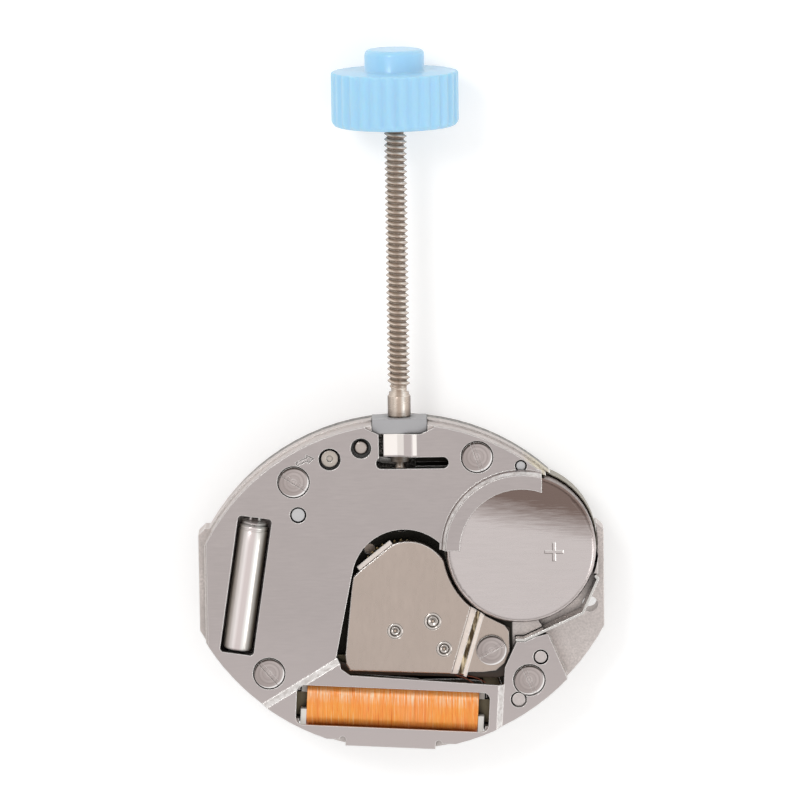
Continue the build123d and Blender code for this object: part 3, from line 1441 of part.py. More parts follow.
with BuildPart() as third_wheel:
    wheel_disc(third_place, third_low, third_teeth, third_module, third_phase, arbor_r)
pieces["third_wheel"] = third_wheel

with BuildPart() as third_pinion:
    pinion_arbor(
        third_place, magnet_low, pinion_high, centre_wheel_low - air_gap,
        centre_wheel_low + wheel_thick + air_gap, centre_module, third_pinion_phase,
    )
pieces["third_pinion"] = third_pinion

with BuildPart() as centre_wheel:
    wheel_disc(hand_axis, centre_wheel_low, centre_teeth, centre_module, centre_phase, centre_arbor_r)
pieces["centre_wheel"] = centre_wheel

with BuildPart() as centre_arbor:
    shaft(hand_axis, [
        (centre_arbor_r, -hand_reach - minute_seat_length + air_gap, bridge_under - air_gap),
        (tube_outer_r, train_floor + run_gap, centre_wheel_low),
    ])
pieces["centre_arbor"] = centre_arbor

# Motion work under the dial
with BuildPart() as cannon_pinion:
    cannon_low = motion_top - run_gap - 2 * wheel_thick
    seat_level = -hand_reach - fit_gap
    with BuildSketch(Plane.XZ):
        Polygon(
            (0, cannon_low + fit_gap), (cannon_neck_r, cannon_low + fit_gap), (cannon_waist_r, seat_level),
            (minute_seat_r, seat_level), (minute_seat_r, seat_level - minute_seat_length),
            (0, seat_level - minute_seat_length), align=None,
        )
    revolve(axis=Axis.Z)
    toothed_disc(hand_axis, cannon_low, motion_top - run_gap, cannon_teeth, motion_module, cannon_phase)
    round_pocket(hand_axis, cannon_bore_r, -tube_below - run_gap, motion_top)
    round_pocket(hand_axis, centre_arbor_r, seat_level - minute_seat_length, motion_top)
pieces["cannon_pinion"] = cannon_pinion

with BuildPart() as minute_wheel:
    wheel_disc(minute_place, minute_low, minute_teeth, motion_module, minute_phase, post_gap_r)
pieces["minute_wheel"] = minute_wheel

with BuildPart() as minute_pinion:
    toothed_disc(
        minute_place, hour_low - air_gap, minute_low, minute_pinion_teeth, hour_module, minute_pinion_phase
    )
    round_pocket(minute_place, post_gap_r, hour_low - air_gap, minute_low)
pieces["minute_pinion"] = minute_pinion

with BuildPart() as hour_wheel:
    toothed_disc(hand_axis, hour_low, hour_low + wheel_thick, hour_teeth, hour_module, hour_phase)
    shaft(hand_axis, [(hour_hub_r, -hub_proud, hour_low), (hour_seat_r, -hand_reach, -hub_proud)])
    round_pocket(hand_axis, hour_bore_r, -hand_reach, hour_low + wheel_thick)
pieces["hour_wheel"] = hour_wheel

with BuildPart() as hour_wheel_washer:
    shaft(hand_axis, [(hour_hub_r + washer_width, hour_low - washer_thick, hour_low)])
    round_pocket(hand_axis, hour_hub_r + fit_gap, hour_low - washer_thick, hour_low)
pieces["hour_wheel_washer"] = hour_wheel_washer

with BuildPart() as setting_wheel:
    toothed_disc(
        setting_place, minute_low - air_gap, setting_high, setting_teeth, motion_module, setting_phase
    )
    round_pocket(setting_place, post_gap_r, minute_low - air_gap, setting_high)
pieces["setting_wheel"] = setting_wheel

os.makedirs("parts", exist_ok=True)
for name, piece in pieces.items():
    piece.part.label = name
    export_step(piece.part, f"parts/{name}.step")
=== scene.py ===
import json
import math
import random

import bpy
from mathutils import Matrix, Vector


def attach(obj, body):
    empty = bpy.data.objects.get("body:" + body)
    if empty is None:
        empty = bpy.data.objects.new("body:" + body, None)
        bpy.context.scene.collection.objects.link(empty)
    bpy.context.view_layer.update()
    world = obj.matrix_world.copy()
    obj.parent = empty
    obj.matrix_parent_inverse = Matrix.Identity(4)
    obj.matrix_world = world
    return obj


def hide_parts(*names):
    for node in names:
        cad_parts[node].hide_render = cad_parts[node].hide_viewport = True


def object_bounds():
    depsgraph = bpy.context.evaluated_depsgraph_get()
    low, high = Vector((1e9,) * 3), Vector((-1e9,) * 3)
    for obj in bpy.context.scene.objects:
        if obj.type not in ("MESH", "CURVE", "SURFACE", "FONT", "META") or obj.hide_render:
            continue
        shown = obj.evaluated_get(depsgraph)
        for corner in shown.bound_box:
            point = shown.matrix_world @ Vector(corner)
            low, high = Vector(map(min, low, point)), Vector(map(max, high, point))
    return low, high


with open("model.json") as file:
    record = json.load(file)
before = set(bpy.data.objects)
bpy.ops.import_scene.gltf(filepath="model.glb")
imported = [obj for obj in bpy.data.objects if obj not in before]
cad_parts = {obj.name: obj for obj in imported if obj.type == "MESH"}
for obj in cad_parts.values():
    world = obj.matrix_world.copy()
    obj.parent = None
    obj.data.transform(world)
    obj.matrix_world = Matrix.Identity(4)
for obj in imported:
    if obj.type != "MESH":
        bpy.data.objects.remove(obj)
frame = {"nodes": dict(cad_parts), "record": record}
cad_low, cad_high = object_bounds()
nodes = frame["nodes"]

# Units and seeds
MM = 0.001
random.seed(7)

# Camera, which looks down on the battery side and leans towards the stem
IMAGE_PX = 800
PX_PER_MM = 26.0
CAMERA_DISTANCE = 220 * MM
CAMERA_TILT = math.radians(9.3)
CAMERA_ROLL = math.radians(0.8)
CAMERA_TARGET = Vector((0.036, 6.620, -1.084)) * MM
CAMERA_NEAR = 10 * MM
CAMERA_FAR = 2.0
SENSOR = 36.0

# Lamps, each with its name, its place from the target, the length of its side and its power
LAMP_TARGET = Vector((0, 7 * MM, 0))
LAMPS = (
    ("key_light", (-60, 70, 150), 40 * MM, 0.06),
    ("fill_light", (110, -40, 90), 60 * MM, 0.025),
)

# Floor, and the sky's stops from straight down to straight up
FLOOR_GAP = 0.02 * MM
FLOOR_REACH = 400 * MM
FLOOR_GREY = (0.8, 0.8, 0.8, 1)
FLOOR_GLOW = 0.35
SKY_STRENGTH = 1.35
SKY_STOPS = (
    (0.36, (0.38, 0.38, 0.38, 1)), (0.44, (0.97, 0.97, 0.96, 1)), (0.60, (1.00, 0.99, 0.98, 1)),
    (0.68, (0.27, 0.26, 0.25, 1)), (0.80, (0.32, 0.31, 0.30, 1)), (0.90, (0.71, 0.71, 0.71, 1)),
)

# Stem, whose profile is given as radii and places along it in millimetres
STEM_LEVEL = 1.15 * MM
STEM_START = 2.149 * MM
STEM_TIP = 19.44 * MM
STEM_SQUARE_HALF = 0.17 * MM
STEM_SQUARE_END = 3.98 * MM
STEM_PROFILE = (
    (0.36, 3.98), (0.36, 4.34), (0.17, 4.34), (0.17, 4.64), (0.36, 4.64), (0.36, 5.30), (0.40, 5.30),
    (0.40, 6.40), (0.42, 6.40), (0.44, 6.43), (0.44, 7.16), (0.43, 7.18), (0.385, 7.19), (0.385, 7.31),
)
STEM_STEPS = 48
THREAD_START = 7.30 * MM
THREAD_PITCH = 0.225 * MM
THREAD_TURNS = 54
THREAD_CREST = 0.43 * MM
THREAD_ROOT = 0.30 * MM
THREAD_FOOT = 0.28 * MM
# Section of the thread's ridge, as radii and shares of the pitch
THREAD_RIDGE = (
    (THREAD_FOOT, -0.04), (THREAD_CREST - 0.012 * MM, 0.42), (THREAD_CREST, 0.48),
    (THREAD_CREST, 0.52), (THREAD_CREST - 0.012 * MM, 0.58), (THREAD_FOOT, 1.04),
)
THREAD_LEAST_WIDTH = 0.3

# Knob
KNOB_START = 17.49 * MM
KNOB_HIGH = 2.07 * MM
KNOB_R = 2.405 * MM
KNOB_BORE = 0.46 * MM
KNOB_CORNER = 0.25 * MM
KNOB_RIM = 0.08 * MM
BOSS_R = 1.13 * MM
BOSS_HIGH = 0.83 * MM
BOSS_CORNER = 0.20 * MM
BOSS_FILLET = 0.06 * MM
FLUTES = 30
FLUTE_STEPS = 14
FLUTE_DEEP = 0.09 * MM
FLUTE_POWER = 1.5

# Ends of the coil's wire
WIRE_R = 0.022 * MM
WIRE_STEPS = 6
WIRE_AROUND = 10
WIRE_RUNS = (
    ((2.02, -3.50, 1.60), (2.24, -3.60, 1.68), (2.52, -3.66, 1.72), (2.86, -3.76, 1.70), (3.16, -3.94, 1.64)),
    ((1.86, -3.54, 1.60), (2.12, -3.66, 1.68), (2.42, -3.76, 1.70), (2.70, -3.96, 1.64)),
)

# Cell with its plus mark
CELL_TOP = 2.33 * MM
CELL_SHADE_TURN = math.radians(12)
CELL_SHADE_START = 3.60 * MM
CELL_SHADE_END = 4.75 * MM
CELL_SHADE_WANDER = 1.2 * MM
PLUS_CENTRE = Vector((5.810, 1.247, 0)) * MM
PLUS_REACH = 0.37 * MM
PLUS_STROKE = 0.075 * MM
PLUS_SLOPE = 0.035 * MM
PLUS_RISE = 0.018 * MM

# Crystal can, whose mouth is given as steps inwards from its radius and along from its half length
CAN_LEAN = math.radians(-8.7)
CAN_CENTRE = Vector((-5.968, -0.141, 1.40)) * MM
CAN_ACROSS = -5.880 * MM
CAN_R = 0.60 * MM
CAN_HALF = 2.40 * MM
CAN_CORNER = 0.12 * MM
CAN_STEPS = 64
CAN_MOUTH = (
    (0, -0.14), (0.015, -0.11), (0.045, -0.10), (0.045, -0.07), (0.02, -0.05), (0.02, 0.02), (0.04, 0.05),
    (0.07, 0.055), (0.08, 0.06), (0.08, 0.12),
)
CAN_NECK_STEP = 0.17 * MM
CAN_NECK_START = 0.12 * MM
CAN_NECK_CORNER = 0.09 * MM
# Radius of the small ring that closes a turned end
CLOSE_R = 0.01 * MM

# Bushes, whose section is given as steps inwards from the rim, then as radii, with steps down from the top
BUSH_CENTRES = ((1.590, -2.541, 0.30), (-0.270, -1.821, 0.30), (1.169, -1.461, 0.33))
BUSH_UNDER = 1.75 * MM
BUSH_TOP = 1.98 * MM
BUSH_STEPS = 48
BUSH_RIM = (
    (0, 0.02), (0.012, 0), (0.075, 0), (0.095, 0.02), (0.10, 0.075), (0.125, 0.08), (0.135, 0.045),
    (0.17, 0.035), (0.185, 0.05),
)
BUSH_MIDDLE = ((0.085, 0.055), (0.06, 0.08))
BUSH_HOLE_R = 0.055 * MM

# Coil; each turn has rows at these shares of it, with the depth of the groove there
COIL_TURNS = 170
COIL_LENGTH = 6.58 * MM
COIL_WIDTH = 1.75 * MM
COIL_HIGH = 1.10 * MM
COIL_CORNER = 0.50 * MM
COIL_SLANT = math.radians(-3.3)
COIL_CENTRE = Vector((-0.403, -4.769, 1.37)) * MM
COIL_SHIFT = 0.10 * MM
COIL_ACROSS = -4.884 * MM
COIL_GROOVE = 0.012 * MM
COIL_WANDER = 0.014 * MM
COIL_LEAN = 0.25
COIL_AROUND = 44
COIL_ROWS = ((0.0, 1.0), (0.3, 0.0), (0.7, 0.0))

# Screws, whose painted shade, highlight and shadow crescents have a point aside, the distances from it
# between which they set in, and a share
SCREW_CENTRES = ((4.828, -3.764), (-5.107, -3.374), (2.930, 4.908), (-4.053, 4.032), (3.399, -2.631))
SCREW_RING_SCALE = 14000
HEAD_R = 0.58
SCREW_SHADE_SIDE = ((0.22, 0.12), (0.30, 0.75), 0.55)
SCREW_NEAR_HIGHLIGHT = ((-0.05, 0.05), (HEAD_R - 0.02, HEAD_R + 0.02), 1)
SCREW_FAR_SHADOW = ((0.02, -0.08), (HEAD_R - 0.03, HEAD_R + 0.01), 1)

# Places of the tints, most of them painted light and shade: boxes in plan as left, right, low, high in
# millimetres, and levels in metres
SOFT = 0.02
PLATE_SHADE_BOXES = ((-2.65, 4.25, -4.10, 2.40), (-1.00, 2.00, 4.20, 4.90))
PLATE_INSIDE = (0.20 * MM, 0.30 * MM)
RIM_GOLD_REFLECTION = (4.6, 7.9, 2.4, 6.0)
WALL_FOOT = (0.02 * MM, 0.08 * MM)
WALL_TOP = (0.50 * MM, 0.66 * MM)
WALL_FAR = (3.0 * MM, 4.5 * MM)
TONGUE_HIGHLIGHT = (-0.62, 0.66, 4.98, 6.00)
TONGUE_DULL_REFLECTION = (0.14, 0.50, 4.98, 6.00)
COVER_GLOW = (-6.0 * MM, -1.0 * MM)
# Folds of the sheets, where painted highlights go, as boxes after a turn in degrees
COVER_FOLDS = ((-31.085, (-7.20, -3.50, -1.33, -1.12)), (3.3, (3.877, 4.077, -9.00, -3.70)))
BRIDGE_TURN = 16.44
BRIDGE_SLOPE = (2.79, 3.03, -5.00, 1.00)
BRIDGE_VALLEY = (3.01, 3.23, -5.00, 1.00)
BRIDGE_RISE = (3.22, 3.37, -5.00, 1.00)
FLAP_TURN = -38.56
FLAP = (-0.96, 0.80, 1.425, 1.62)
# Ring where the cover's lip bends up round the cell, which gets a painted highlight
LIP_CENTRE = (4.57, 1.35)
LIP_RING = (2.885, 3.00)


def linear(red, green, blue):
    """Linear colour of an sRGB one, from 0 to 255."""
    channels = []
    for value in (red, green, blue):
        share = value / 255
        channels.append(share / 12.92 if share <= 0.04045 else ((share + 0.055) / 1.055) ** 2.4)
    return (*channels, 1.0)


# Ranges of a noise's value, over its usual spread and over its middle
NOISE = (0.3, 0.7)
NOISE_MIDDLE = (0.35, 0.65)
# Scale of the slow tone changes of metal, and of the mottle of plastic
CLOUDS = 600
MOTTLE = 4000
# Depth of a surface's grain, and reach in which a gap is looked for
GRAIN_DEEP = 0.01 * MM
GAP_REACH = 0.40 * MM

# Tones that the finishes mix in, many of them painted light: highlights, reflections and shade
BLACK = (0, 0, 0, 1)
WHITE = (1, 1, 1, 1)
GAP_SHADE = linear(38, 36, 32)
PLATE_GAP_SHADE = linear(44, 42, 38)
LEDGE_REFLECTION_DARK = linear(150, 136, 112)
LEDGE_REFLECTION_GOLD = linear(242, 234, 214)
WALL_DARK = linear(66, 64, 60)
WALL_PALE = linear(176, 172, 166)
COVER_LIT_TONE = linear(194, 184, 182)
FOLD_HIGHLIGHT_GREY = linear(204, 198, 195)
FOLD_HIGHLIGHT_WHITE = linear(238, 235, 233)
TONGUE_HIGHLIGHT_WHITE = linear(252, 245, 240)
TONGUE_REFLECTION_GREY = linear(208, 198, 196)
VALLEY_SHADE_BROWN = linear(78, 64, 48)
VALLEY_REFLECTION_GOLD = linear(226, 206, 172)
BRIDGE_HIGHLIGHT_WHITE = linear(255, 244, 236)
MARK_HIGHLIGHT_WHITE = linear(255, 253, 250)
MARK_SHADE_BROWN = linear(112, 102, 98)
WIRE_GLINT = linear(168, 108, 84)
RING_PALE = linear(222, 212, 208)
RING_DARK = linear(140, 130, 126)
SCREW_SHADE_BROWN = linear(150, 138, 134)
NEAR_RIM_HIGHLIGHT = linear(248, 244, 242)
FAR_RIM_SHADOW = linear(74, 66, 62)
CELL_SHADE_BROWN = linear(112, 92, 84)
COPPER_ROSE = linear(248, 148, 88)
COPPER_HIGHLIGHT = linear(255, 240, 214)
COPPER_LOW_SHADE = linear(210, 98, 26)
COPPER_GAP_SHADE = linear(160, 60, 10)
COPPER_STREAKS = (
    (0.25, linear(228, 108, 30)), (0.40, linear(255, 150, 50)), (0.56, linear(255, 172, 72)),
    (0.80, linear(255, 216, 168)),
)
# Bands that a round side mirrors, from one side to the other
STEM_BANDS = (
    (0.03, linear(106, 94, 84)), (0.16, linear(186, 172, 160)), (0.32, linear(236, 222, 208)),
    (0.44, linear(184, 164, 148)), (0.56, linear(192, 172, 156)), (0.68, linear(255, 250, 242)),
    (0.80, linear(210, 194, 180)), (0.90, linear(172, 156, 144)), (0.98, linear(88, 76, 68)),
)
CAN_BANDS = (
    (0.02, linear(50, 44, 38)), (0.07, linear(130, 122, 112)), (0.13, linear(206, 196, 186)),
    (0.24, linear(250, 244, 240)), (0.34, linear(250, 242, 240)), (0.44, linear(216, 204, 202)),
    (0.56, linear(216, 204, 202)), (0.66, linear(255, 254, 250)), (0.82, linear(250, 246, 238)),
    (0.90, linear(166, 154, 138)), (0.98, linear(54, 46, 38)),
)


def blank_tree(owner):
    """Empty node tree of a material or a world."""
    owner.use_nodes = True
    owner.node_tree.nodes.clear()
    return owner.node_tree


def new_material(name):
    """Empty node material with its shader, and the coordinates of the row frame."""
    material = bpy.data.materials.new(name)
    tree = blank_tree(material)
    output = tree.nodes.new("ShaderNodeOutputMaterial")
    shader = tree.nodes.new("ShaderNodeBsdfPrincipled")
    tree.links.new(shader.outputs["BSDF"], output.inputs["Surface"])
    place = tree.nodes.new("ShaderNodeTexCoord")
    return material, tree, shader, place.outputs["Object"]


def feed(tree, source, socket):
    """Link an output to a socket, or set the socket's own value."""
    if isinstance(source, bpy.types.NodeSocket):
        tree.links.new(source, socket)
    else:
        socket.default_value = source


def stretched(tree, source, scale, turn=0.0):
    """Coordinates scaled differently along each axis, after a turn about Z."""
    mapping = tree.nodes.new("ShaderNodeMapping")
    mapping.vector_type = "POINT"
    mapping.inputs["Rotation"].default_value = (0, 0, turn)
    mapping.inputs["Scale"].default_value = scale
    tree.links.new(source, mapping.inputs["Vector"])
    return mapping.outputs["Vector"]


def coordinate(tree, place, axis, turn=0.0):
    """One coordinate of a place, after a turn about Z."""
    parts = tree.nodes.new("ShaderNodeSeparateXYZ")
    tree.links.new(stretched(tree, place, (1, 1, 1), turn), parts.inputs[0])
    return parts.outputs[axis]


def noise(tree, vector, detail, roughness, scale=1.0):
    """Noise value at a vector."""
    node = tree.nodes.new("ShaderNodeTexNoise")
    node.inputs["Scale"].default_value = scale
    node.inputs["Detail"].default_value = detail
    node.inputs["Roughness"].default_value = roughness
    tree.links.new(vector, node.inputs["Vector"])
    return node.outputs["Fac"]


def remap(tree, value, low, high, to_low, to_high):
    """Value moved from one range to another."""
    node = tree.nodes.new("ShaderNodeMapRange")
    for name, number in (("From Min", low), ("From Max", high), ("To Min", to_low), ("To Max", to_high)):
        node.inputs[name].default_value = number
    tree.links.new(value, node.inputs["Value"])
    return node.outputs["Result"]


def ramp(tree, value, stops):
    """Colour ramp through stops of place and colour."""
    node = tree.nodes.new("ShaderNodeValToRGB")
    elements = node.color_ramp.elements
    while len(elements) < len(stops):
        elements.new(0.5)
    for element, (place, colour) in zip(elements, stops):
        element.position = place
        element.color = colour
    tree.links.new(value, node.inputs["Fac"])
    return node.outputs["Color"]


def mixed(tree, factor, first, second):
    """Mix of two colours, each a value or an output."""
    node = tree.nodes.new("ShaderNodeMix")
    node.data_type = "RGBA"
    for source, socket in ((factor, node.inputs[0]), (first, node.inputs[6]), (second, node.inputs[7])):
        feed(tree, source, socket)
    return node.outputs[2]


def maths(tree, operation, *sources):
    """Result of a maths node on values and outputs."""
    node = tree.nodes.new("ShaderNodeMath")
    node.operation = operation
    for source, socket in zip(sources, node.inputs):
        feed(tree, source, socket)
    return node.outputs[0]


def product(tree, first, second):
    """Product of two values."""
    return maths(tree, "MULTIPLY", first, second)


def vector_maths(tree, operation, first, second):
    """Value that a vector maths node gives for two vectors."""
    node = tree.nodes.new("ShaderNodeVectorMath")
    node.operation = operation
    feed(tree, first, node.inputs[0])
    feed(tree, second, node.inputs[1])
    return node.outputs["Value"]


def facing(tree, direction):
    """How far a face is turned to a direction, from -1 to 1."""
    shape = tree.nodes.new("ShaderNodeNewGeometry")
    return vector_maths(tree, "DOT_PRODUCT", shape.outputs["Normal"], direction)


def distance(tree, place, x, y):
    """Distance in plan from a point that is given in millimetres."""
    return vector_maths(tree, "DISTANCE", stretched(tree, place, (1, 1, 0)), (x * MM, y * MM, 0))


def band(tree, value, low, high, soft):
    """1 between two bounds in millimetres and 0 outside, with a soft border."""
    return product(tree, remap(tree, value, low * MM, (low + soft) * MM, 0, 1),
                   remap(tree, value, (high - soft) * MM, high * MM, 1, 0))


def within(tree, place, box, soft, turn=0.0):
    """1 inside a box in plan, after a turn in degrees, and 0 outside, with a soft border."""
    left, right, low, high = box
    turn = math.radians(turn)
    return product(tree, band(tree, coordinate(tree, place, "X", turn), left, right, soft),
                   band(tree, coordinate(tree, place, "Y", turn), low, high, soft))


def bump(tree, height, strength, normal=None):
    """Normal from the height of a fine grain."""
    node = tree.nodes.new("ShaderNodeBump")
    node.inputs["Strength"].default_value = strength
    node.inputs["Distance"].default_value = GRAIN_DEEP
    tree.links.new(height, node.inputs["Height"])
    if normal is not None:
        tree.links.new(normal, node.inputs["Normal"])
    return node.outputs["Normal"]


def openness(tree, reach):
    """How open the surroundings of a point are, from 0 in a deep gap to 1 on a free face."""
    node = tree.nodes.new("ShaderNodeAmbientOcclusion")
    node.samples = 6
    node.inputs["Distance"].default_value = reach
    return node.outputs["AO"]


def finished(tree, shader, tone, edge, edge_highlight_colour, gap, gap_level, grain, grain_bump):
    """Painted highlights on the edges, painted shade in the gaps, and a fine grain on a tone."""
    corner = tree.nodes.new("ShaderNodeBevel")
    corner.samples = 4
    corner.inputs["Radius"].default_value = edge
    rounded = corner.outputs["Normal"]
    sharp = remap(tree, facing(tree, rounded), 0.93, 0.995, 1, 0)
    free = openness(tree, gap)
    edge_highlight = product(tree, sharp, remap(tree, free, 0.28, 0.60, 0, 1))
    # Painted highlight: a pale colour on sharp, open edges.
    tone = mixed(tree, edge_highlight, tone, linear(*edge_highlight_colour))
    # Painted shade: a dark tone where the surroundings close in.
    tone = mixed(tree, remap(tree, free, *gap_level, 1, 0), tone, GAP_SHADE)
    tree.links.new(tone, shader.inputs["Base Color"])
    tree.links.new(bump(tree, grain, grain_bump, rounded), shader.inputs["Normal"])


def spread_tones(colour, spread):
    """Darker and lighter tone round a colour."""
    base = Vector(linear(*colour)[:3])
    return (*(base * (1 - spread)), 1.0), (*[min(1.0, channel) for channel in base * (1 + spread)], 1.0)


def metal(name, colour, roughness, grain=(1500, 15000, 1500), grain_turn=0.0, grain_bump=0.12, spread=0.05,
          edge=0.05 * MM, edge_highlight_colour=(252, 250, 247), gap=GAP_REACH, gap_level=(0.28, 0.78), tint=None,
          dull=0.0, dull_part=None):
    """Metal with a fine grain along one direction, slow tone changes, painted highlights on its edges and
    painted shade in its gaps.

    The tint adds tones by place, most of them painted light and shade. A dull metal shows its own tone more,
    all over or on its dull part alone."""
    material, tree, shader, place = new_material(name)
    lines = noise(tree, stretched(tree, place, grain, grain_turn), 3.0, 0.7)
    clouds = noise(tree, place, 2.0, 0.5, CLOUDS)
    dark, light = spread_tones(colour, spread)
    tone = mixed(tree, remap(tree, lines, *NOISE, 0, 1), dark, light)
    tone = mixed(tree, remap(tree, clouds, *NOISE_MIDDLE, 0, 0.5), tone, dark)
    if tint:
        tone = tint(tree, place, lines, tone)
    tree.links.new(remap(tree, lines, *NOISE, roughness * 0.85, roughness * 1.15), shader.inputs["Roughness"])
    shader.inputs["Metallic"].default_value = 1.0 - dull
    if dull_part:
        tree.links.new(remap(tree, dull_part(tree, place), 0, 1, 1, 0.1), shader.inputs["Metallic"])
    finished(tree, shader, tone, edge, edge_highlight_colour, gap, gap_level, lines, grain_bump)
    return material


def plastic(name, colour, roughness, spread=0.04, scatter=0.0, edge=0.03 * MM, edge_highlight_colour=None,
            gap_level=(0.35, 0.85), tint=None, coat=0.0):
    """Moulded plastic with a faint mottle, painted highlights on its edges and painted shade in its gaps."""
    material, tree, shader, place = new_material(name)
    clouds = noise(tree, place, 3.0, 0.6, MOTTLE)
    dark, light = spread_tones(colour, spread)
    tone = mixed(tree, clouds, dark, light)
    if tint:
        tone = tint(tree, place, clouds, tone)
    tree.links.new(remap(tree, clouds, *NOISE, roughness * 0.9, roughness * 1.1), shader.inputs["Roughness"])
    if coat:
        shader.inputs["Coat Weight"].default_value = coat
        shader.inputs["Coat Roughness"].default_value = 0.15
    if scatter:
        shader.inputs["Subsurface Weight"].default_value = scatter
        shader.inputs["Subsurface Radius"].default_value = (0.3, 0.7, 1.0)
        shader.inputs["Subsurface Scale"].default_value = 0.4 * MM
    finished(tree, shader, tone, edge, edge_highlight_colour or colour, GAP_REACH, gap_level, clouds, 0.05)
    return material


def plate_shade(tree, place, lines, tone):
    """Plate with painted shade where only gaps show it and a painted golden reflection beside the cell,
    darker and grainy on the low part of its far outer wall.
    """
    level = coordinate(tree, place, "Z")
    inside = remap(tree, level, *PLATE_INSIDE, 0, 1)
    # Painted shade: the plate is darkened where it is seen only deep in the gaps.
    for box in PLATE_SHADE_BOXES:
        tone = mixed(tree, product(tree, within(tree, place, box, 0.06), inside), tone, PLATE_GAP_SHADE)
    # Painted golden reflection on the ledge beside the cell.
    gold_reflection = mixed(tree, remap(tree, lines, 0.36, 0.64, 0, 1), LEDGE_REFLECTION_DARK, LEDGE_REFLECTION_GOLD)
    tone = mixed(tree, product(tree, within(tree, place, RIM_GOLD_REFLECTION, 0.5), inside), tone, gold_reflection)
    low_wall = product(tree, remap(tree, level, *WALL_FOOT, 0, 1), remap(tree, level, *WALL_TOP, 1, 0))
    wall = product(tree, low_wall, remap(tree, coordinate(tree, place, "Y"), *WALL_FAR, 0, 1))
    rough = mixed(tree, remap(tree, lines, 0.45, 0.62, 0, 1), WALL_DARK, WALL_PALE)
    return mixed(tree, wall, tone, rough)


def cover_folds(tree, place):
    """1 where painted highlights go: on the bends of the cover that mirror the light, and on the ring where
    its lip bends up.
    """
    share = band(tree, distance(tree, place, *LIP_CENTRE), *LIP_RING, SOFT)
    for turn, box in COVER_FOLDS:
        share = maths(tree, "MAXIMUM", share, within(tree, place, box, SOFT, turn))
    return share


def cover_shade(tree, place, lines, tone):
    """Painted light on the cover: lighter towards its low edge, grainy painted highlights on its bends, and a
    painted reflection on the tongue over the stem, whose slope mirrors the light.
    """
    # Painted light: the cover grows lighter towards its low edge.
    lit_low_part = remap(tree, coordinate(tree, place, "Y"), *COVER_GLOW, 0.75, 0)
    tone = mixed(tree, lit_low_part, tone, COVER_LIT_TONE)
    speck = noise(tree, place, 2.0, 0.5, 5000)
    # Painted highlights, grainy and pale, on the bends and on the lip's ring.
    pale = mixed(tree, remap(tree, speck, *NOISE_MIDDLE, 0, 1), FOLD_HIGHLIGHT_GREY, FOLD_HIGHLIGHT_WHITE)
    tone = mixed(tree, cover_folds(tree, place), tone, pale)
    # Painted reflection on the tongue's slope: a white band, with a duller grey band in it.
    tone = mixed(tree, within(tree, place, TONGUE_HIGHLIGHT, 0.03), tone, TONGUE_HIGHLIGHT_WHITE)
    return mixed(tree, within(tree, place, TONGUE_DULL_REFLECTION, 0.03), tone, TONGUE_REFLECTION_GREY)


def bridge_bright(tree, place):
    """1 where painted highlights go: on the slope, the rise and the flap of the bridge, which mirror the
    light.
    """
    share = within(tree, place, FLAP, SOFT, FLAP_TURN)
    for box in (BRIDGE_SLOPE, BRIDGE_RISE):
        share = maths(tree, "MAXIMUM", share, within(tree, place, box, SOFT, BRIDGE_TURN))
    return share


def bridge_shade(tree, place, lines, tone):
    """Painted light on the bridge: painted highlights on the slope and the rise of its fold and on its flap,
    and painted shade in the valley, with golden streaks of painted reflection.
    """
    streak = noise(tree, stretched(tree, place, (9000, 1800, 9000), math.radians(BRIDGE_TURN)), 2.0, 0.6)
    # Painted shade in the valley, broken by golden streaks of painted reflection.
    dark = mixed(tree, remap(tree, streak, 0.50, 0.70, 0, 1), VALLEY_SHADE_BROWN, VALLEY_REFLECTION_GOLD)
    tone = mixed(tree, within(tree, place, BRIDGE_VALLEY, 0.03, BRIDGE_TURN), tone, dark)
    # Painted highlights on the slope, the rise and the flap.
    return mixed(tree, bridge_bright(tree, place), tone, BRIDGE_HIGHLIGHT_WHITE)


def stem_shade(tree, place, lines, tone):
    """Brown middle between two pale stripes, as the round stem mirrors the lamps."""
    across = remap(tree, facing(tree, (1, 0, 0)), -1, 1, 0, 1)
    return mixed(tree, remap(tree, lines, *NOISE, 0.75, 0.95), tone, ramp(tree, across, STEM_BANDS))


def mark_shade(tree, place, lines, tone):
    """Raised mark with painted shade on the sides that face one way and painted highlights on the sides that
    face the other.
    """
    side = facing(tree, (0.72, 0.69, 0))
    # Painted highlight on the sides facing one way, painted shade on the sides facing away.
    tone = mixed(tree, remap(tree, side, 0.15, 0.5, 0, 1), tone, MARK_HIGHLIGHT_WHITE)
    return mixed(tree, remap(tree, side, -0.5, -0.15, 1, 0), tone, MARK_SHADE_BROWN)


def wire_shade(tree, place, lines, tone):
    """Dark red-brown enamel with paler streaks."""
    return mixed(tree, remap(tree, lines, 0.45, 0.70, 0, 0.6), tone, WIRE_GLINT)


def screw_reach(tree, place, aside=(0.0, 0.0)):
    """Distance in plan to the middle of the nearest screw, or to a point aside of it."""
    nearest, *others = [distance(tree, place, x + aside[0], y + aside[1]) for x, y in SCREW_CENTRES]
    for other in others:
        nearest = maths(tree, "MINIMUM", nearest, other)
    return nearest


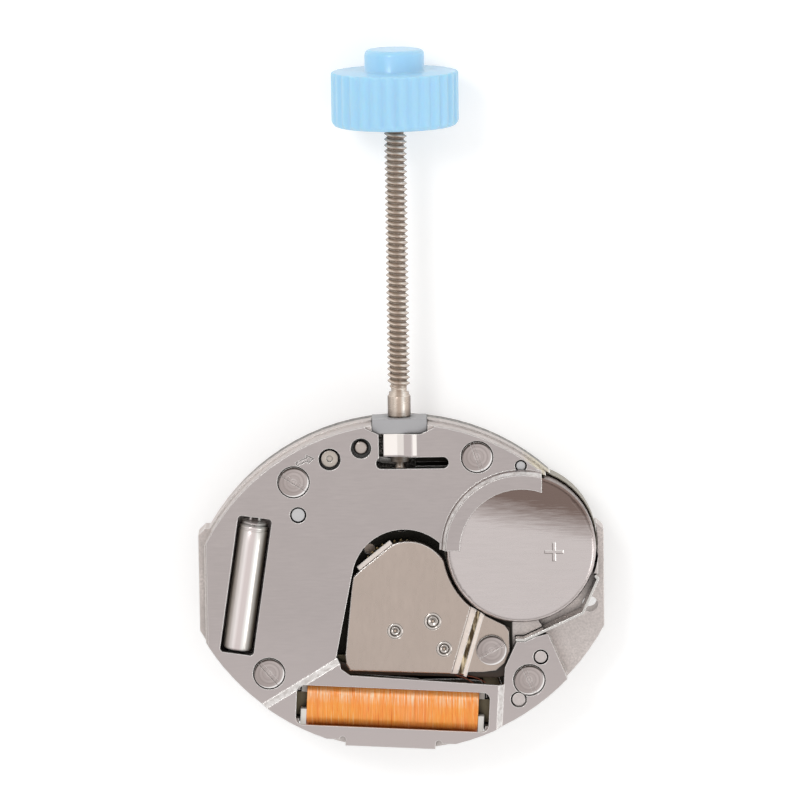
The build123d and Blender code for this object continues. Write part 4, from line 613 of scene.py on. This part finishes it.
def screw_rings(tree, place, lines, tone):
    """Fine turning marks round each screw's middle, with painted shade on one side, a painted highlight on
    the near rim and a painted shadow on the far one.
    """
    rings = tree.nodes.new("ShaderNodeTexNoise")
    rings.noise_dimensions = "1D"
    rings.inputs["Scale"].default_value = SCREW_RING_SCALE
    rings.inputs["Detail"].default_value = 2.0
    tree.links.new(screw_reach(tree, place), rings.inputs["W"])
    tone = mixed(tree, remap(tree, rings.outputs["Fac"], 0.52, 0.66, 0, 0.45), tone, RING_PALE)
    tone = mixed(tree, remap(tree, rings.outputs["Fac"], 0.34, 0.46, 0.4, 0), tone, RING_DARK)
    # Painted shade on one side of each head, a painted highlight on its near rim and a painted shadow on its
    # far rim.
    for crescent, colour in ((SCREW_SHADE_SIDE, SCREW_SHADE_BROWN), (SCREW_NEAR_HIGHLIGHT, NEAR_RIM_HIGHLIGHT),
                             (SCREW_FAR_SHADOW, FAR_RIM_SHADOW)):
        aside, (near, far), share = crescent
        there = remap(tree, screw_reach(tree, place, aside), near * MM, far * MM, 0, share)
        tone = mixed(tree, there, tone, colour)
    return tone


def cell_shade(tree, place, lines, tone):
    """Painted brown shade that the cover's lip throws on the far side of the cell, broken into brush lines.
    """
    along = coordinate(tree, place, "Y", CELL_SHADE_TURN)
    broken = maths(tree, "MULTIPLY_ADD", lines, CELL_SHADE_WANDER, along)
    return mixed(tree, remap(tree, broken, CELL_SHADE_START, CELL_SHADE_END, 0, 0.92), tone, CELL_SHADE_BROWN)


def can_shade(tree, place, lines, tone):
    """Pale and dark bands along the can, as its round side mirrors the light and the window's walls."""
    side = coordinate(tree, place, "X", -CAN_LEAN)
    across = remap(tree, side, CAN_ACROSS - CAN_R, CAN_ACROSS + CAN_R, 0, 1)
    return mixed(tree, remap(tree, lines, *NOISE, 0.92, 1.0), tone, ramp(tree, across, CAN_BANDS))


def copper_wire(name):
    """Enamelled copper turns, with tone streaks that run round the coil, a painted highlight band towards the
    far side, painted shade towards the near side and painted shade in the gaps.
    """
    material, tree, shader, place = new_material(name)
    fine = noise(tree, stretched(tree, place, (26000, 900, 900), -COIL_SLANT), 3.0, 0.7)
    broad = noise(tree, stretched(tree, place, (900, 500, 500), -COIL_SLANT), 2.0, 0.5)
    tone = mixed(tree, remap(tree, broad, 0.4, 0.6, 0, 0.35), ramp(tree, fine, COPPER_STREAKS), COPPER_ROSE)
    side = coordinate(tree, place, "Y", -COIL_SLANT)
    across = remap(tree, side, COIL_ACROSS - COIL_WIDTH / 2, COIL_ACROSS + COIL_WIDTH / 2, 0, 1)
    # Painted highlight: a pale band towards the far side of the coil.
    highlight_band = ramp(tree, across, ((0.56, BLACK), (0.78, WHITE), (0.92, BLACK)))
    tone = mixed(tree, product(tree, highlight_band, remap(tree, fine, 0.46, 0.66, 0, 0.95)), tone, COPPER_HIGHLIGHT)
    # Painted shade: darker towards the near side of the coil.
    dusk = ramp(tree, across, ((0.06, WHITE), (0.24, BLACK)))
    tone = mixed(tree, product(tree, dusk, remap(tree, fine, *NOISE, 0.9, 0.5)), tone, COPPER_LOW_SHADE)
    # Painted shade in the gaps beside the coil.
    tone = mixed(tree, remap(tree, openness(tree, 0.5 * MM), -0.05, 0.45, 1, 0), tone, COPPER_GAP_SHADE)
    tree.links.new(tone, shader.inputs["Base Color"])
    shader.inputs["Metallic"].default_value = 0.25
    shader.inputs["Coat Weight"].default_value = 0.25
    shader.inputs["Coat Roughness"].default_value = 0.25
    tree.links.new(remap(tree, fine, *NOISE, 0.30, 0.48), shader.inputs["Roughness"])
    tree.links.new(bump(tree, fine, 0.25), shader.inputs["Normal"])
    return material


MATERIALS = {
    "cover_metal": metal("cover_metal", (181, 172, 170), 0.36, tint=cover_shade, dull_part=cover_folds,
                         gap_level=(0.12, 0.58)),
    "plate_metal": metal("plate_metal", (206, 197, 193), 0.42, grain=(12000, 12000, 12000), grain_bump=0.8,
                         spread=0.22, tint=plate_shade, gap_level=(0.10, 0.58)),
    "bridge_metal": metal("bridge_metal", (186, 171, 161), 0.30, grain=(6000, 1800, 6000), spread=0.04,
                          tint=bridge_shade, dull_part=bridge_bright, gap_level=(0.10, 0.50)),
    "screw_steel": metal("screw_steel", (182, 171, 168), 0.36, grain=(9000, 9000, 9000), edge=0.03 * MM,
                         spread=0.04, tint=screw_rings, gap_level=(0.05, 0.50)),
    "battery_steel": metal("battery_steel", (204, 195, 193), 0.28, grain=(1100, 15000, 1100), grain_turn=0.10,
                           spread=0.03, edge=0.04 * MM, tint=cell_shade, gap_level=(0.05, 0.50)),
    "crystal_steel": metal("crystal_steel", (216, 206, 202), 0.22, grain=(15000, 900, 9000), spread=0.03,
                           gap_level=(-0.2, 0.28), tint=can_shade, dull=0.6),
    "stem_steel": metal("stem_steel", (186, 168, 154), 0.26, grain=(2500, 9000, 2500), edge=0.012 * MM,
                        gap=0.12 * MM, gap_level=(-0.7, 0.40), edge_highlight_colour=(244, 232, 218), tint=stem_shade,
                        dull=0.75),
    "spring_steel": metal("spring_steel", (206, 202, 198), 0.26),
    "wheel_brass": metal("wheel_brass", (214, 182, 120), 0.30, edge_highlight_colour=(246, 226, 178)),
    "washer_foil": metal("washer_foil", (220, 190, 130), 0.30, edge_highlight_colour=(246, 226, 178)),
    "copper_winding": copper_wire("copper_winding"),
    "core_iron": metal("core_iron", (112, 102, 84), 0.45, edge_highlight_colour=(170, 160, 140)),
    "magnet": metal("magnet", (70, 70, 74), 0.45, edge_highlight_colour=(120, 120, 124)),
    "white_plastic": plastic("white_plastic", (198, 197, 198), 0.45),
    "seal_plastic": plastic("seal_plastic", (46, 42, 40), 0.5),
    # The board's dark brown is painted shade: it is darkened to the dim tone it shows deep in the gaps.
    "board": plastic("board", (58, 40, 24), 0.35, spread=0.15),
    "chip": plastic("chip", (24, 24, 26), 0.35),
    "ruby": metal("ruby", (206, 198, 192), 0.22, edge=0.015 * MM),
    "knob_plastic": plastic("knob_plastic", (166, 217, 249), 0.42, spread=0.02, scatter=0.35, edge=0.05 * MM,
                            edge_highlight_colour=(190, 226, 252), gap_level=(-0.6, 0.15), coat=0.5),
}
# Finishes of single pieces that differ from the rest of their slot
OWN_FINISH = {
    "pivot_bushes": MATERIALS["ruby"],
    "stem_guide": plastic("guide_plastic", (172, 171, 173), 0.40),
    "coil_bobbin": plastic("bobbin_plastic", (236, 232, 226), 0.40, gap_level=(0.10, 0.55)),
    "insulator_frame": plastic("frame_plastic", (198, 197, 198), 0.45, tint=plate_shade),
    "corner_spacer": metal("spacer_metal", (204, 195, 192), 0.42, grain=(9000, 9000, 9000), grain_bump=0.5,
                           spread=0.10, gap_level=(0.10, 0.50)),
    "release_post": metal("post_steel", (196, 186, 176), 0.30, grain=(5000, 5000, 5000)),
    "spring_post": metal("spring_post_steel", (188, 177, 170), 0.30, grain=(5000, 5000, 5000)),
    "battery_insulator": plastic("insulator_film", (150, 142, 126), 0.40),
}
MARK_STEEL = metal("mark_steel", (204, 195, 193), 0.28, grain=(1100, 15000, 1100), tint=mark_shade, dull=0.3,
                   edge=0.004 * MM, gap_level=(-0.6, 0.0))
WIRE_ENAMEL = metal("wire_enamel", (112, 58, 40), 0.30, grain=(3000, 3000, 3000), edge=0.005 * MM, dull=0.5,
                    edge_highlight_colour=(150, 92, 68), gap_level=(-0.4, 0.3), tint=wire_shade)


def paint(obj, slot):
    """Give a piece the material of a slot and nothing else."""
    obj.data.materials.clear()
    obj.data.materials.append(MATERIALS[slot])


for entry in frame["record"]["subparts"]:
    paint(nodes[entry["node"]], entry["material_slot"])
for node_name, material in OWN_FINISH.items():
    nodes[node_name].data.materials[0] = material


def scene_object(name, data):
    """New object in the scene."""
    obj = bpy.data.objects.new(name, data)
    bpy.context.scene.collection.objects.link(obj)
    return obj


def mesh_piece(name, points, faces, slot, body, smooth=True):
    """New mesh in the row frame that rides on a body."""
    mesh = bpy.data.meshes.new(name)
    mesh.from_pydata([tuple(point) for point in points], [], faces)
    mesh.validate()
    mesh.update()
    for polygon in mesh.polygons:
        polygon.use_smooth = smooth
    obj = scene_object(name, mesh)
    paint(obj, slot)
    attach(obj, body)
    return obj


def stem_point(radius, angle, along):
    """Point round the stem's axis."""
    return Vector((radius * math.cos(angle), along, STEM_LEVEL + radius * math.sin(angle)))


def turned(profile, segments, wave=None, place=stem_point, ring=False):
    """Points and faces of a closed turned shape, from its radii and places, with a hole if it is a ring."""
    points, faces = [], []
    for radius, along in profile:
        for number in range(segments):
            angle = 2 * math.pi * number / segments
            reach = radius if wave is None else wave(radius, angle, along)
            points.append(place(reach, angle, along))
    rows = len(profile)
    for row in range(rows if ring else rows - 1):
        below = (row + 1) % rows
        for number in range(segments):
            after = (number + 1) % segments
            faces.append((row * segments + number, row * segments + after,
                          below * segments + after, below * segments + number))
    if ring:
        return points, faces
    last = (rows - 1) * segments
    faces.append(tuple(range(segments)))
    faces.append(tuple(range(last + segments - 1, last - 1, -1)))
    return points, faces


def arc(centre, radius, start, end, steps):
    """Points of an arc in a profile, from one angle in degrees to another."""
    made = []
    for step in range(steps + 1):
        angle = math.radians(start + (end - start) * step / steps)
        made.append((centre[0] + radius * math.cos(angle), centre[1] + radius * math.sin(angle)))
    return made


def stem_shape():
    """Stem with its square end, groove, journal, collar and helical thread."""
    profile = [(STEM_SQUARE_HALF, STEM_START), (STEM_SQUARE_HALF, STEM_SQUARE_END)]
    profile += [(radius * MM, along * MM) for radius, along in STEM_PROFILE]
    profile += [(THREAD_ROOT, THREAD_START + 0.02 * MM), (THREAD_ROOT, STEM_TIP)]

    def wave(radius, angle, along):
        """Square across the inner end and round elsewhere."""
        if along > STEM_SQUARE_END or radius > STEM_SQUARE_HALF:
            return radius
        side = (angle + math.pi / 4) % (math.pi / 2) - math.pi / 4
        return radius / math.cos(side)

    points, faces = turned(profile, STEM_STEPS, wave)
    # Helical ridge, a strip that winds round the core
    first = len(points)
    count = (THREAD_TURNS - 1) * STEM_STEPS
    for number in range(count + 1):
        angle = 2 * math.pi * number / STEM_STEPS
        fade = min(1.0, number / STEM_STEPS, (count - number) / STEM_STEPS)
        width_share = THREAD_LEAST_WIDTH + (1 - THREAD_LEAST_WIDTH) * fade
        for radius, share in THREAD_RIDGE:
            reach = THREAD_FOOT + (radius - THREAD_FOOT) * fade
            along = THREAD_START + (number / STEM_STEPS + 0.5 + (share - 0.5) * width_share) * THREAD_PITCH
            points.append(stem_point(reach, angle, along))
    width = len(THREAD_RIDGE)
    for number in range(count):
        for corner in range(width - 1):
            near = first + number * width + corner
            faces.append((near, near + width, near + width + 1, near + 1))
        near = first + number * width
        faces.append((near, near + width - 1, near + 2 * width - 1, near + width))
    faces.append(tuple(first + corner for corner in range(width)))
    last = first + count * width
    faces.append(tuple(last + corner for corner in reversed(range(width))))
    return points, faces


def knob_shape():
    """Setting knob with shallow flutes that run out at its rounded inner rim, and a round boss."""
    top = KNOB_START + KNOB_HIGH
    profile = [(KNOB_BORE, KNOB_START)]
    profile += arc((KNOB_R - KNOB_CORNER, KNOB_START + KNOB_CORNER), KNOB_CORNER, -90, 0, 6)
    profile += [(KNOB_R, KNOB_START + KNOB_HIGH * share) for share in (0.3, 0.5, 0.7, 0.9)]
    profile += arc((KNOB_R - KNOB_RIM, top - KNOB_RIM), KNOB_RIM, 0, 90, 4)
    profile += [(BOSS_R + BOSS_FILLET, top), (BOSS_R + BOSS_FILLET / 3, top + BOSS_FILLET / 3),
                (BOSS_R, top + BOSS_FILLET)]
    profile += arc((BOSS_R - BOSS_CORNER, top + BOSS_HIGH - BOSS_CORNER), BOSS_CORNER, 0, 90, 6)
    profile += [(BOSS_R * share, top + BOSS_HIGH) for share in (0.6, 0.3, 0.01)]

    def wave(radius, angle, along):
        """Flutes cut into the side only."""
        near_side = max(0.0, min(1.0, (radius - (KNOB_R - KNOB_CORNER)) / KNOB_CORNER))
        below_top = 1.0 if along <= top else 0.0
        swing = 0.5 - 0.5 * math.cos(FLUTES * angle)
        return radius - FLUTE_DEEP * (swing ** FLUTE_POWER) * near_side * below_top

    return turned(profile, FLUTES * FLUTE_STEPS, wave)


def coil_outline(inset):
    """Points of the winding's rounded section, across and up, from its middle."""
    half_width = COIL_WIDTH / 2 - inset
    half_high = COIL_HIGH / 2 - inset
    corner = COIL_CORNER - inset
    points = []
    for number in range(COIL_AROUND):
        angle = 2 * math.pi * (number + 0.5) / COIL_AROUND
        direction = Vector((math.cos(angle), math.sin(angle)))
        core_x = half_width - corner
        core_y = half_high - corner
        x = core_x if direction.x > 0 else -core_x
        y = core_y if direction.y > 0 else -core_y
        points.append((x + corner * direction.x, y + corner * direction.y))
    return points


def coil_shape():
    """Winding whose turns stand out one by one and wander a little, closed at both ends."""
    along_axis = Vector((math.cos(COIL_SLANT), math.sin(COIL_SLANT), 0))
    across_axis = Vector((-math.sin(COIL_SLANT), math.cos(COIL_SLANT), 0))
    middle = COIL_CENTRE - across_axis * COIL_SHIFT
    points, faces = [], []
    for turn in range(COIL_TURNS):
        lift = COIL_WANDER * random.random()
        lean = [random.uniform(-COIL_LEAN, COIL_LEAN) for _ in range(2)]
        for share, groove in COIL_ROWS:
            for number, (across, up) in enumerate(coil_outline(lift + COIL_GROOVE * groove)):
                swing = 2 * math.pi * number / COIL_AROUND
                shift = lean[0] * math.sin(swing) + lean[1] * math.cos(swing)
                place = (turn + share + shift * (1 - groove)) / COIL_TURNS
                if turn in (0, COIL_TURNS - 1):
                    place = (turn + share) / COIL_TURNS
                points.append(middle + along_axis * (place - 0.5) * COIL_LENGTH
                              + across_axis * across + Vector((0, 0, up)))
    rows = COIL_TURNS * len(COIL_ROWS)
    for row in range(rows - 1):
        for number in range(COIL_AROUND):
            after = (number + 1) % COIL_AROUND
            faces.append((row * COIL_AROUND + number, (row + 1) * COIL_AROUND + number,
                          (row + 1) * COIL_AROUND + after, row * COIL_AROUND + after))
    faces.append(tuple(range(COIL_AROUND - 1, -1, -1)))
    faces.append(tuple(range((rows - 1) * COIL_AROUND, rows * COIL_AROUND)))
    return points, faces


def can_shape():
    """Crystal can with a rounded closed end, a rolled groove and a stepped shoulder."""
    axis = Vector((-math.sin(CAN_LEAN), math.cos(CAN_LEAN), 0))
    across = Vector((math.cos(CAN_LEAN), math.sin(CAN_LEAN), 0))

    def can_point(radius, angle, along):
        """Point round the can's axis."""
        above = Vector((0, 0, radius * math.sin(angle)))
        return CAN_CENTRE + axis * along + across * radius * math.cos(angle) + above

    profile = [(CLOSE_R, -CAN_HALF), (CAN_R / 2, -CAN_HALF)]
    profile += arc((CAN_R - CAN_CORNER, CAN_CORNER - CAN_HALF), CAN_CORNER, -90, 0, 6)
    profile += [(CAN_R, CAN_HALF * share) for share in (-0.6, -0.2, 0.2, 0.6)]
    profile += [(CAN_R - inwards * MM, CAN_HALF + along * MM) for inwards, along in CAN_MOUTH]
    profile += arc((CAN_R - CAN_NECK_STEP, CAN_HALF + CAN_NECK_START), CAN_NECK_CORNER, 0, 90, 5)
    profile += [(CLOSE_R, CAN_HALF + CAN_NECK_START + CAN_NECK_CORNER)]
    return turned(profile, CAN_STEPS, place=can_point)


def bush_shape():
    """Three bushes with a rolled rim, an oil groove and a dished middle round the pivot's hole."""
    points, faces = [], []
    for x, y, radius in BUSH_CENTRES:
        outer = radius * MM

        def bush_point(reach, angle, along):
            """Point round a bush's axis."""
            return Vector((x * MM + reach * math.cos(angle), y * MM + reach * math.sin(angle), along))

        profile = [(outer, BUSH_UNDER)]
        profile += [(outer - inwards * MM, BUSH_TOP - down * MM) for inwards, down in BUSH_RIM]
        profile += [(reach * MM, BUSH_TOP - down * MM) for reach, down in BUSH_MIDDLE]
        profile += [(BUSH_HOLE_R, BUSH_UNDER)]
        made_points, made_faces = turned(profile, BUSH_STEPS, place=bush_point, ring=True)
        first = len(points)
        points += made_points
        faces += [tuple(first + corner for corner in face) for face in made_faces]
    return points, faces


def plus_shape():
    """Low plus mark with sloped sides."""
    inner, outer = PLUS_STROKE, PLUS_REACH
    outline = [(inner, outer), (-inner, outer), (-inner, inner), (-outer, inner), (-outer, -inner),
               (-inner, -inner), (-inner, -outer), (inner, -outer), (inner, -inner), (outer, -inner),
               (outer, inner), (inner, inner)]
    points, faces = [], []
    for level, inset in ((-PLUS_RISE, 0.0), (0.0, 0.0), (PLUS_RISE, PLUS_SLOPE)):
        for x, y in outline:
            shrink_x = x - math.copysign(inset, x)
            shrink_y = y - math.copysign(inset, y)
            points.append(PLUS_CENTRE + Vector((shrink_x, shrink_y, CELL_TOP + level)))
    count = len(outline)
    for row in range(2):
        for number in range(count):
            after = (number + 1) % count
            faces.append((row * count + number, row * count + after, (row + 1) * count + after,
                          (row + 1) * count + number))
    faces.append(tuple(range(count - 1, -1, -1)))
    faces.append(tuple(range(2 * count, 3 * count)))
    return points, faces


def smooth_run(places):
    """More points along a run, on a smooth curve through the given ones."""
    ends = [places[0] * 2 - places[1], *places, places[-1] * 2 - places[-2]]
    made = []
    for before, near, far, after in zip(ends, ends[1:], ends[2:], ends[3:]):
        for step in range(WIRE_STEPS):
            share = step / WIRE_STEPS
            made.append((near * 2 + (far - before) * share
                         + (before * 2 - near * 5 + far * 4 - after) * share ** 2
                         + (near * 3 - before - far * 3 + after) * share ** 3) / 2)
    return made + [places[-1]]


def tube_shape(runs, radius):
    """Round wires along runs of points, closed at both ends."""
    points, faces = [], []
    for run in runs:
        first = len(points)
        places = smooth_run([Vector(place) * MM for place in run])
        for number, place in enumerate(places):
            before = places[max(0, number - 1)]
            after = places[min(len(places) - 1, number + 1)]
            along = (after - before).normalized()
            side = along.cross(Vector((0, 0, 1))).normalized()
            above = side.cross(along)
            for corner in range(WIRE_AROUND):
                angle = 2 * math.pi * corner / WIRE_AROUND
                points.append(place + (side * math.cos(angle) + above * math.sin(angle)) * radius)
        for row in range(len(places) - 1):
            near = first + row * WIRE_AROUND
            for corner in range(WIRE_AROUND):
                after = (corner + 1) % WIRE_AROUND
                faces.append((near + corner, near + after, near + WIRE_AROUND + after,
                              near + WIRE_AROUND + corner))
        faces.append(tuple(first + corner for corner in range(WIRE_AROUND)))
        last = first + (len(places) - 1) * WIRE_AROUND
        faces.append(tuple(last + corner for corner in reversed(range(WIRE_AROUND))))
    return points, faces


stem_piece = mesh_piece("stem_with_thread", *stem_shape(), "stem_steel", "stem")
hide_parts("stem")
knob_piece = mesh_piece("fluted_knob", *knob_shape(), "knob_plastic", "stem")
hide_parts("setting_knob")
coil_piece = mesh_piece("coil_turns", *coil_shape(), "copper_winding", "movement")
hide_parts("coil_winding")
can_piece = mesh_piece("crystal_can", *can_shape(), "crystal_steel", "movement")
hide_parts("quartz_can")
bush_piece = mesh_piece("bush_cups", *bush_shape(), "ruby", "movement")
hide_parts("pivot_bushes", "pivot_jewel")
wire_piece = mesh_piece("coil_wires", *tube_shape(WIRE_RUNS, WIRE_R), "copper_winding", "movement")
wire_piece.data.materials[0] = WIRE_ENAMEL
mark_piece = mesh_piece("plus_mark", *plus_shape(), "battery_steel", "movement", smooth=False)
mark_piece.data.materials[0] = MARK_STEEL

# Soft square lamps that face the object
for lamp_name, from_target, side_length, power in LAMPS:
    lamp = bpy.data.lights.new(lamp_name, "AREA")
    lamp.shape = "RECTANGLE"
    lamp.size = lamp.size_y = side_length
    lamp.energy = power
    lamp_object = scene_object(lamp_name, lamp)
    lamp_object.location = LAMP_TARGET + Vector(from_target) * MM
    lamp_object.rotation_euler = (LAMP_TARGET - lamp_object.location).to_track_quat("-Z", "Y").to_euler()

# Floor, which glows to the camera and in reflections only
floor_level = cad_low.z - FLOOR_GAP
floor_mesh = bpy.data.meshes.new("floor")
floor_mesh.from_pydata([(-FLOOR_REACH, -FLOOR_REACH, floor_level), (FLOOR_REACH, -FLOOR_REACH, floor_level),
                        (FLOOR_REACH, FLOOR_REACH, floor_level), (-FLOOR_REACH, FLOOR_REACH, floor_level)],
                       [], [(0, 1, 2, 3)])
floor = scene_object("floor", floor_mesh)
floor_material = bpy.data.materials.new("floor")
tree = blank_tree(floor_material)
output = tree.nodes.new("ShaderNodeOutputMaterial")
diffuse = tree.nodes.new("ShaderNodeBsdfDiffuse")
diffuse.inputs["Color"].default_value = FLOOR_GREY
glow = tree.nodes.new("ShaderNodeEmission")
path = tree.nodes.new("ShaderNodeLightPath")
seen = maths(tree, "MAXIMUM", path.outputs["Is Camera Ray"], path.outputs["Is Glossy Ray"])
tree.links.new(product(tree, seen, FLOOR_GLOW), glow.inputs["Strength"])
total = tree.nodes.new("ShaderNodeAddShader")
tree.links.new(diffuse.outputs[0], total.inputs[0])
tree.links.new(glow.outputs[0], total.inputs[1])
tree.links.new(total.outputs[0], output.inputs["Surface"])
floor_mesh.materials.append(floor_material)

# Sky, bright at the horizon with a dark band above it
world = bpy.data.worlds.new("studio")
bpy.context.scene.world = world
tree = blank_tree(world)
output = tree.nodes.new("ShaderNodeOutputWorld")
backdrop = tree.nodes.new("ShaderNodeBackground")
sky = tree.nodes.new("ShaderNodeTexCoord")
height = remap(tree, coordinate(tree, sky.outputs["Generated"], "Z"), -1, 1, 0, 1)
tree.links.new(ramp(tree, height, SKY_STOPS), backdrop.inputs["Color"])
backdrop.inputs["Strength"].default_value = SKY_STRENGTH
tree.links.new(backdrop.outputs[0], output.inputs["Surface"])

# Camera
back = Vector((0, math.sin(CAMERA_TILT), math.cos(CAMERA_TILT)))
right = Vector((1, 0, 0))
up = back.cross(right)
image_right = right * math.cos(CAMERA_ROLL) - up * math.sin(CAMERA_ROLL)
image_up = right * math.sin(CAMERA_ROLL) + up * math.cos(CAMERA_ROLL)
camera_data = bpy.data.cameras.new("camera")
camera_data.sensor_width = SENSOR
camera_data.lens = SENSOR * CAMERA_DISTANCE / (IMAGE_PX / PX_PER_MM * MM)
camera_data.clip_start = CAMERA_NEAR
camera_data.clip_end = CAMERA_FAR
camera = scene_object("camera", camera_data)
camera.matrix_world = Matrix.Translation(CAMERA_TARGET + back * CAMERA_DISTANCE) @ Matrix(
    (image_right, image_up, back)).transposed().to_4x4()
bpy.context.scene.camera = camera
bpy.context.scene.view_settings.view_transform = "Standard"
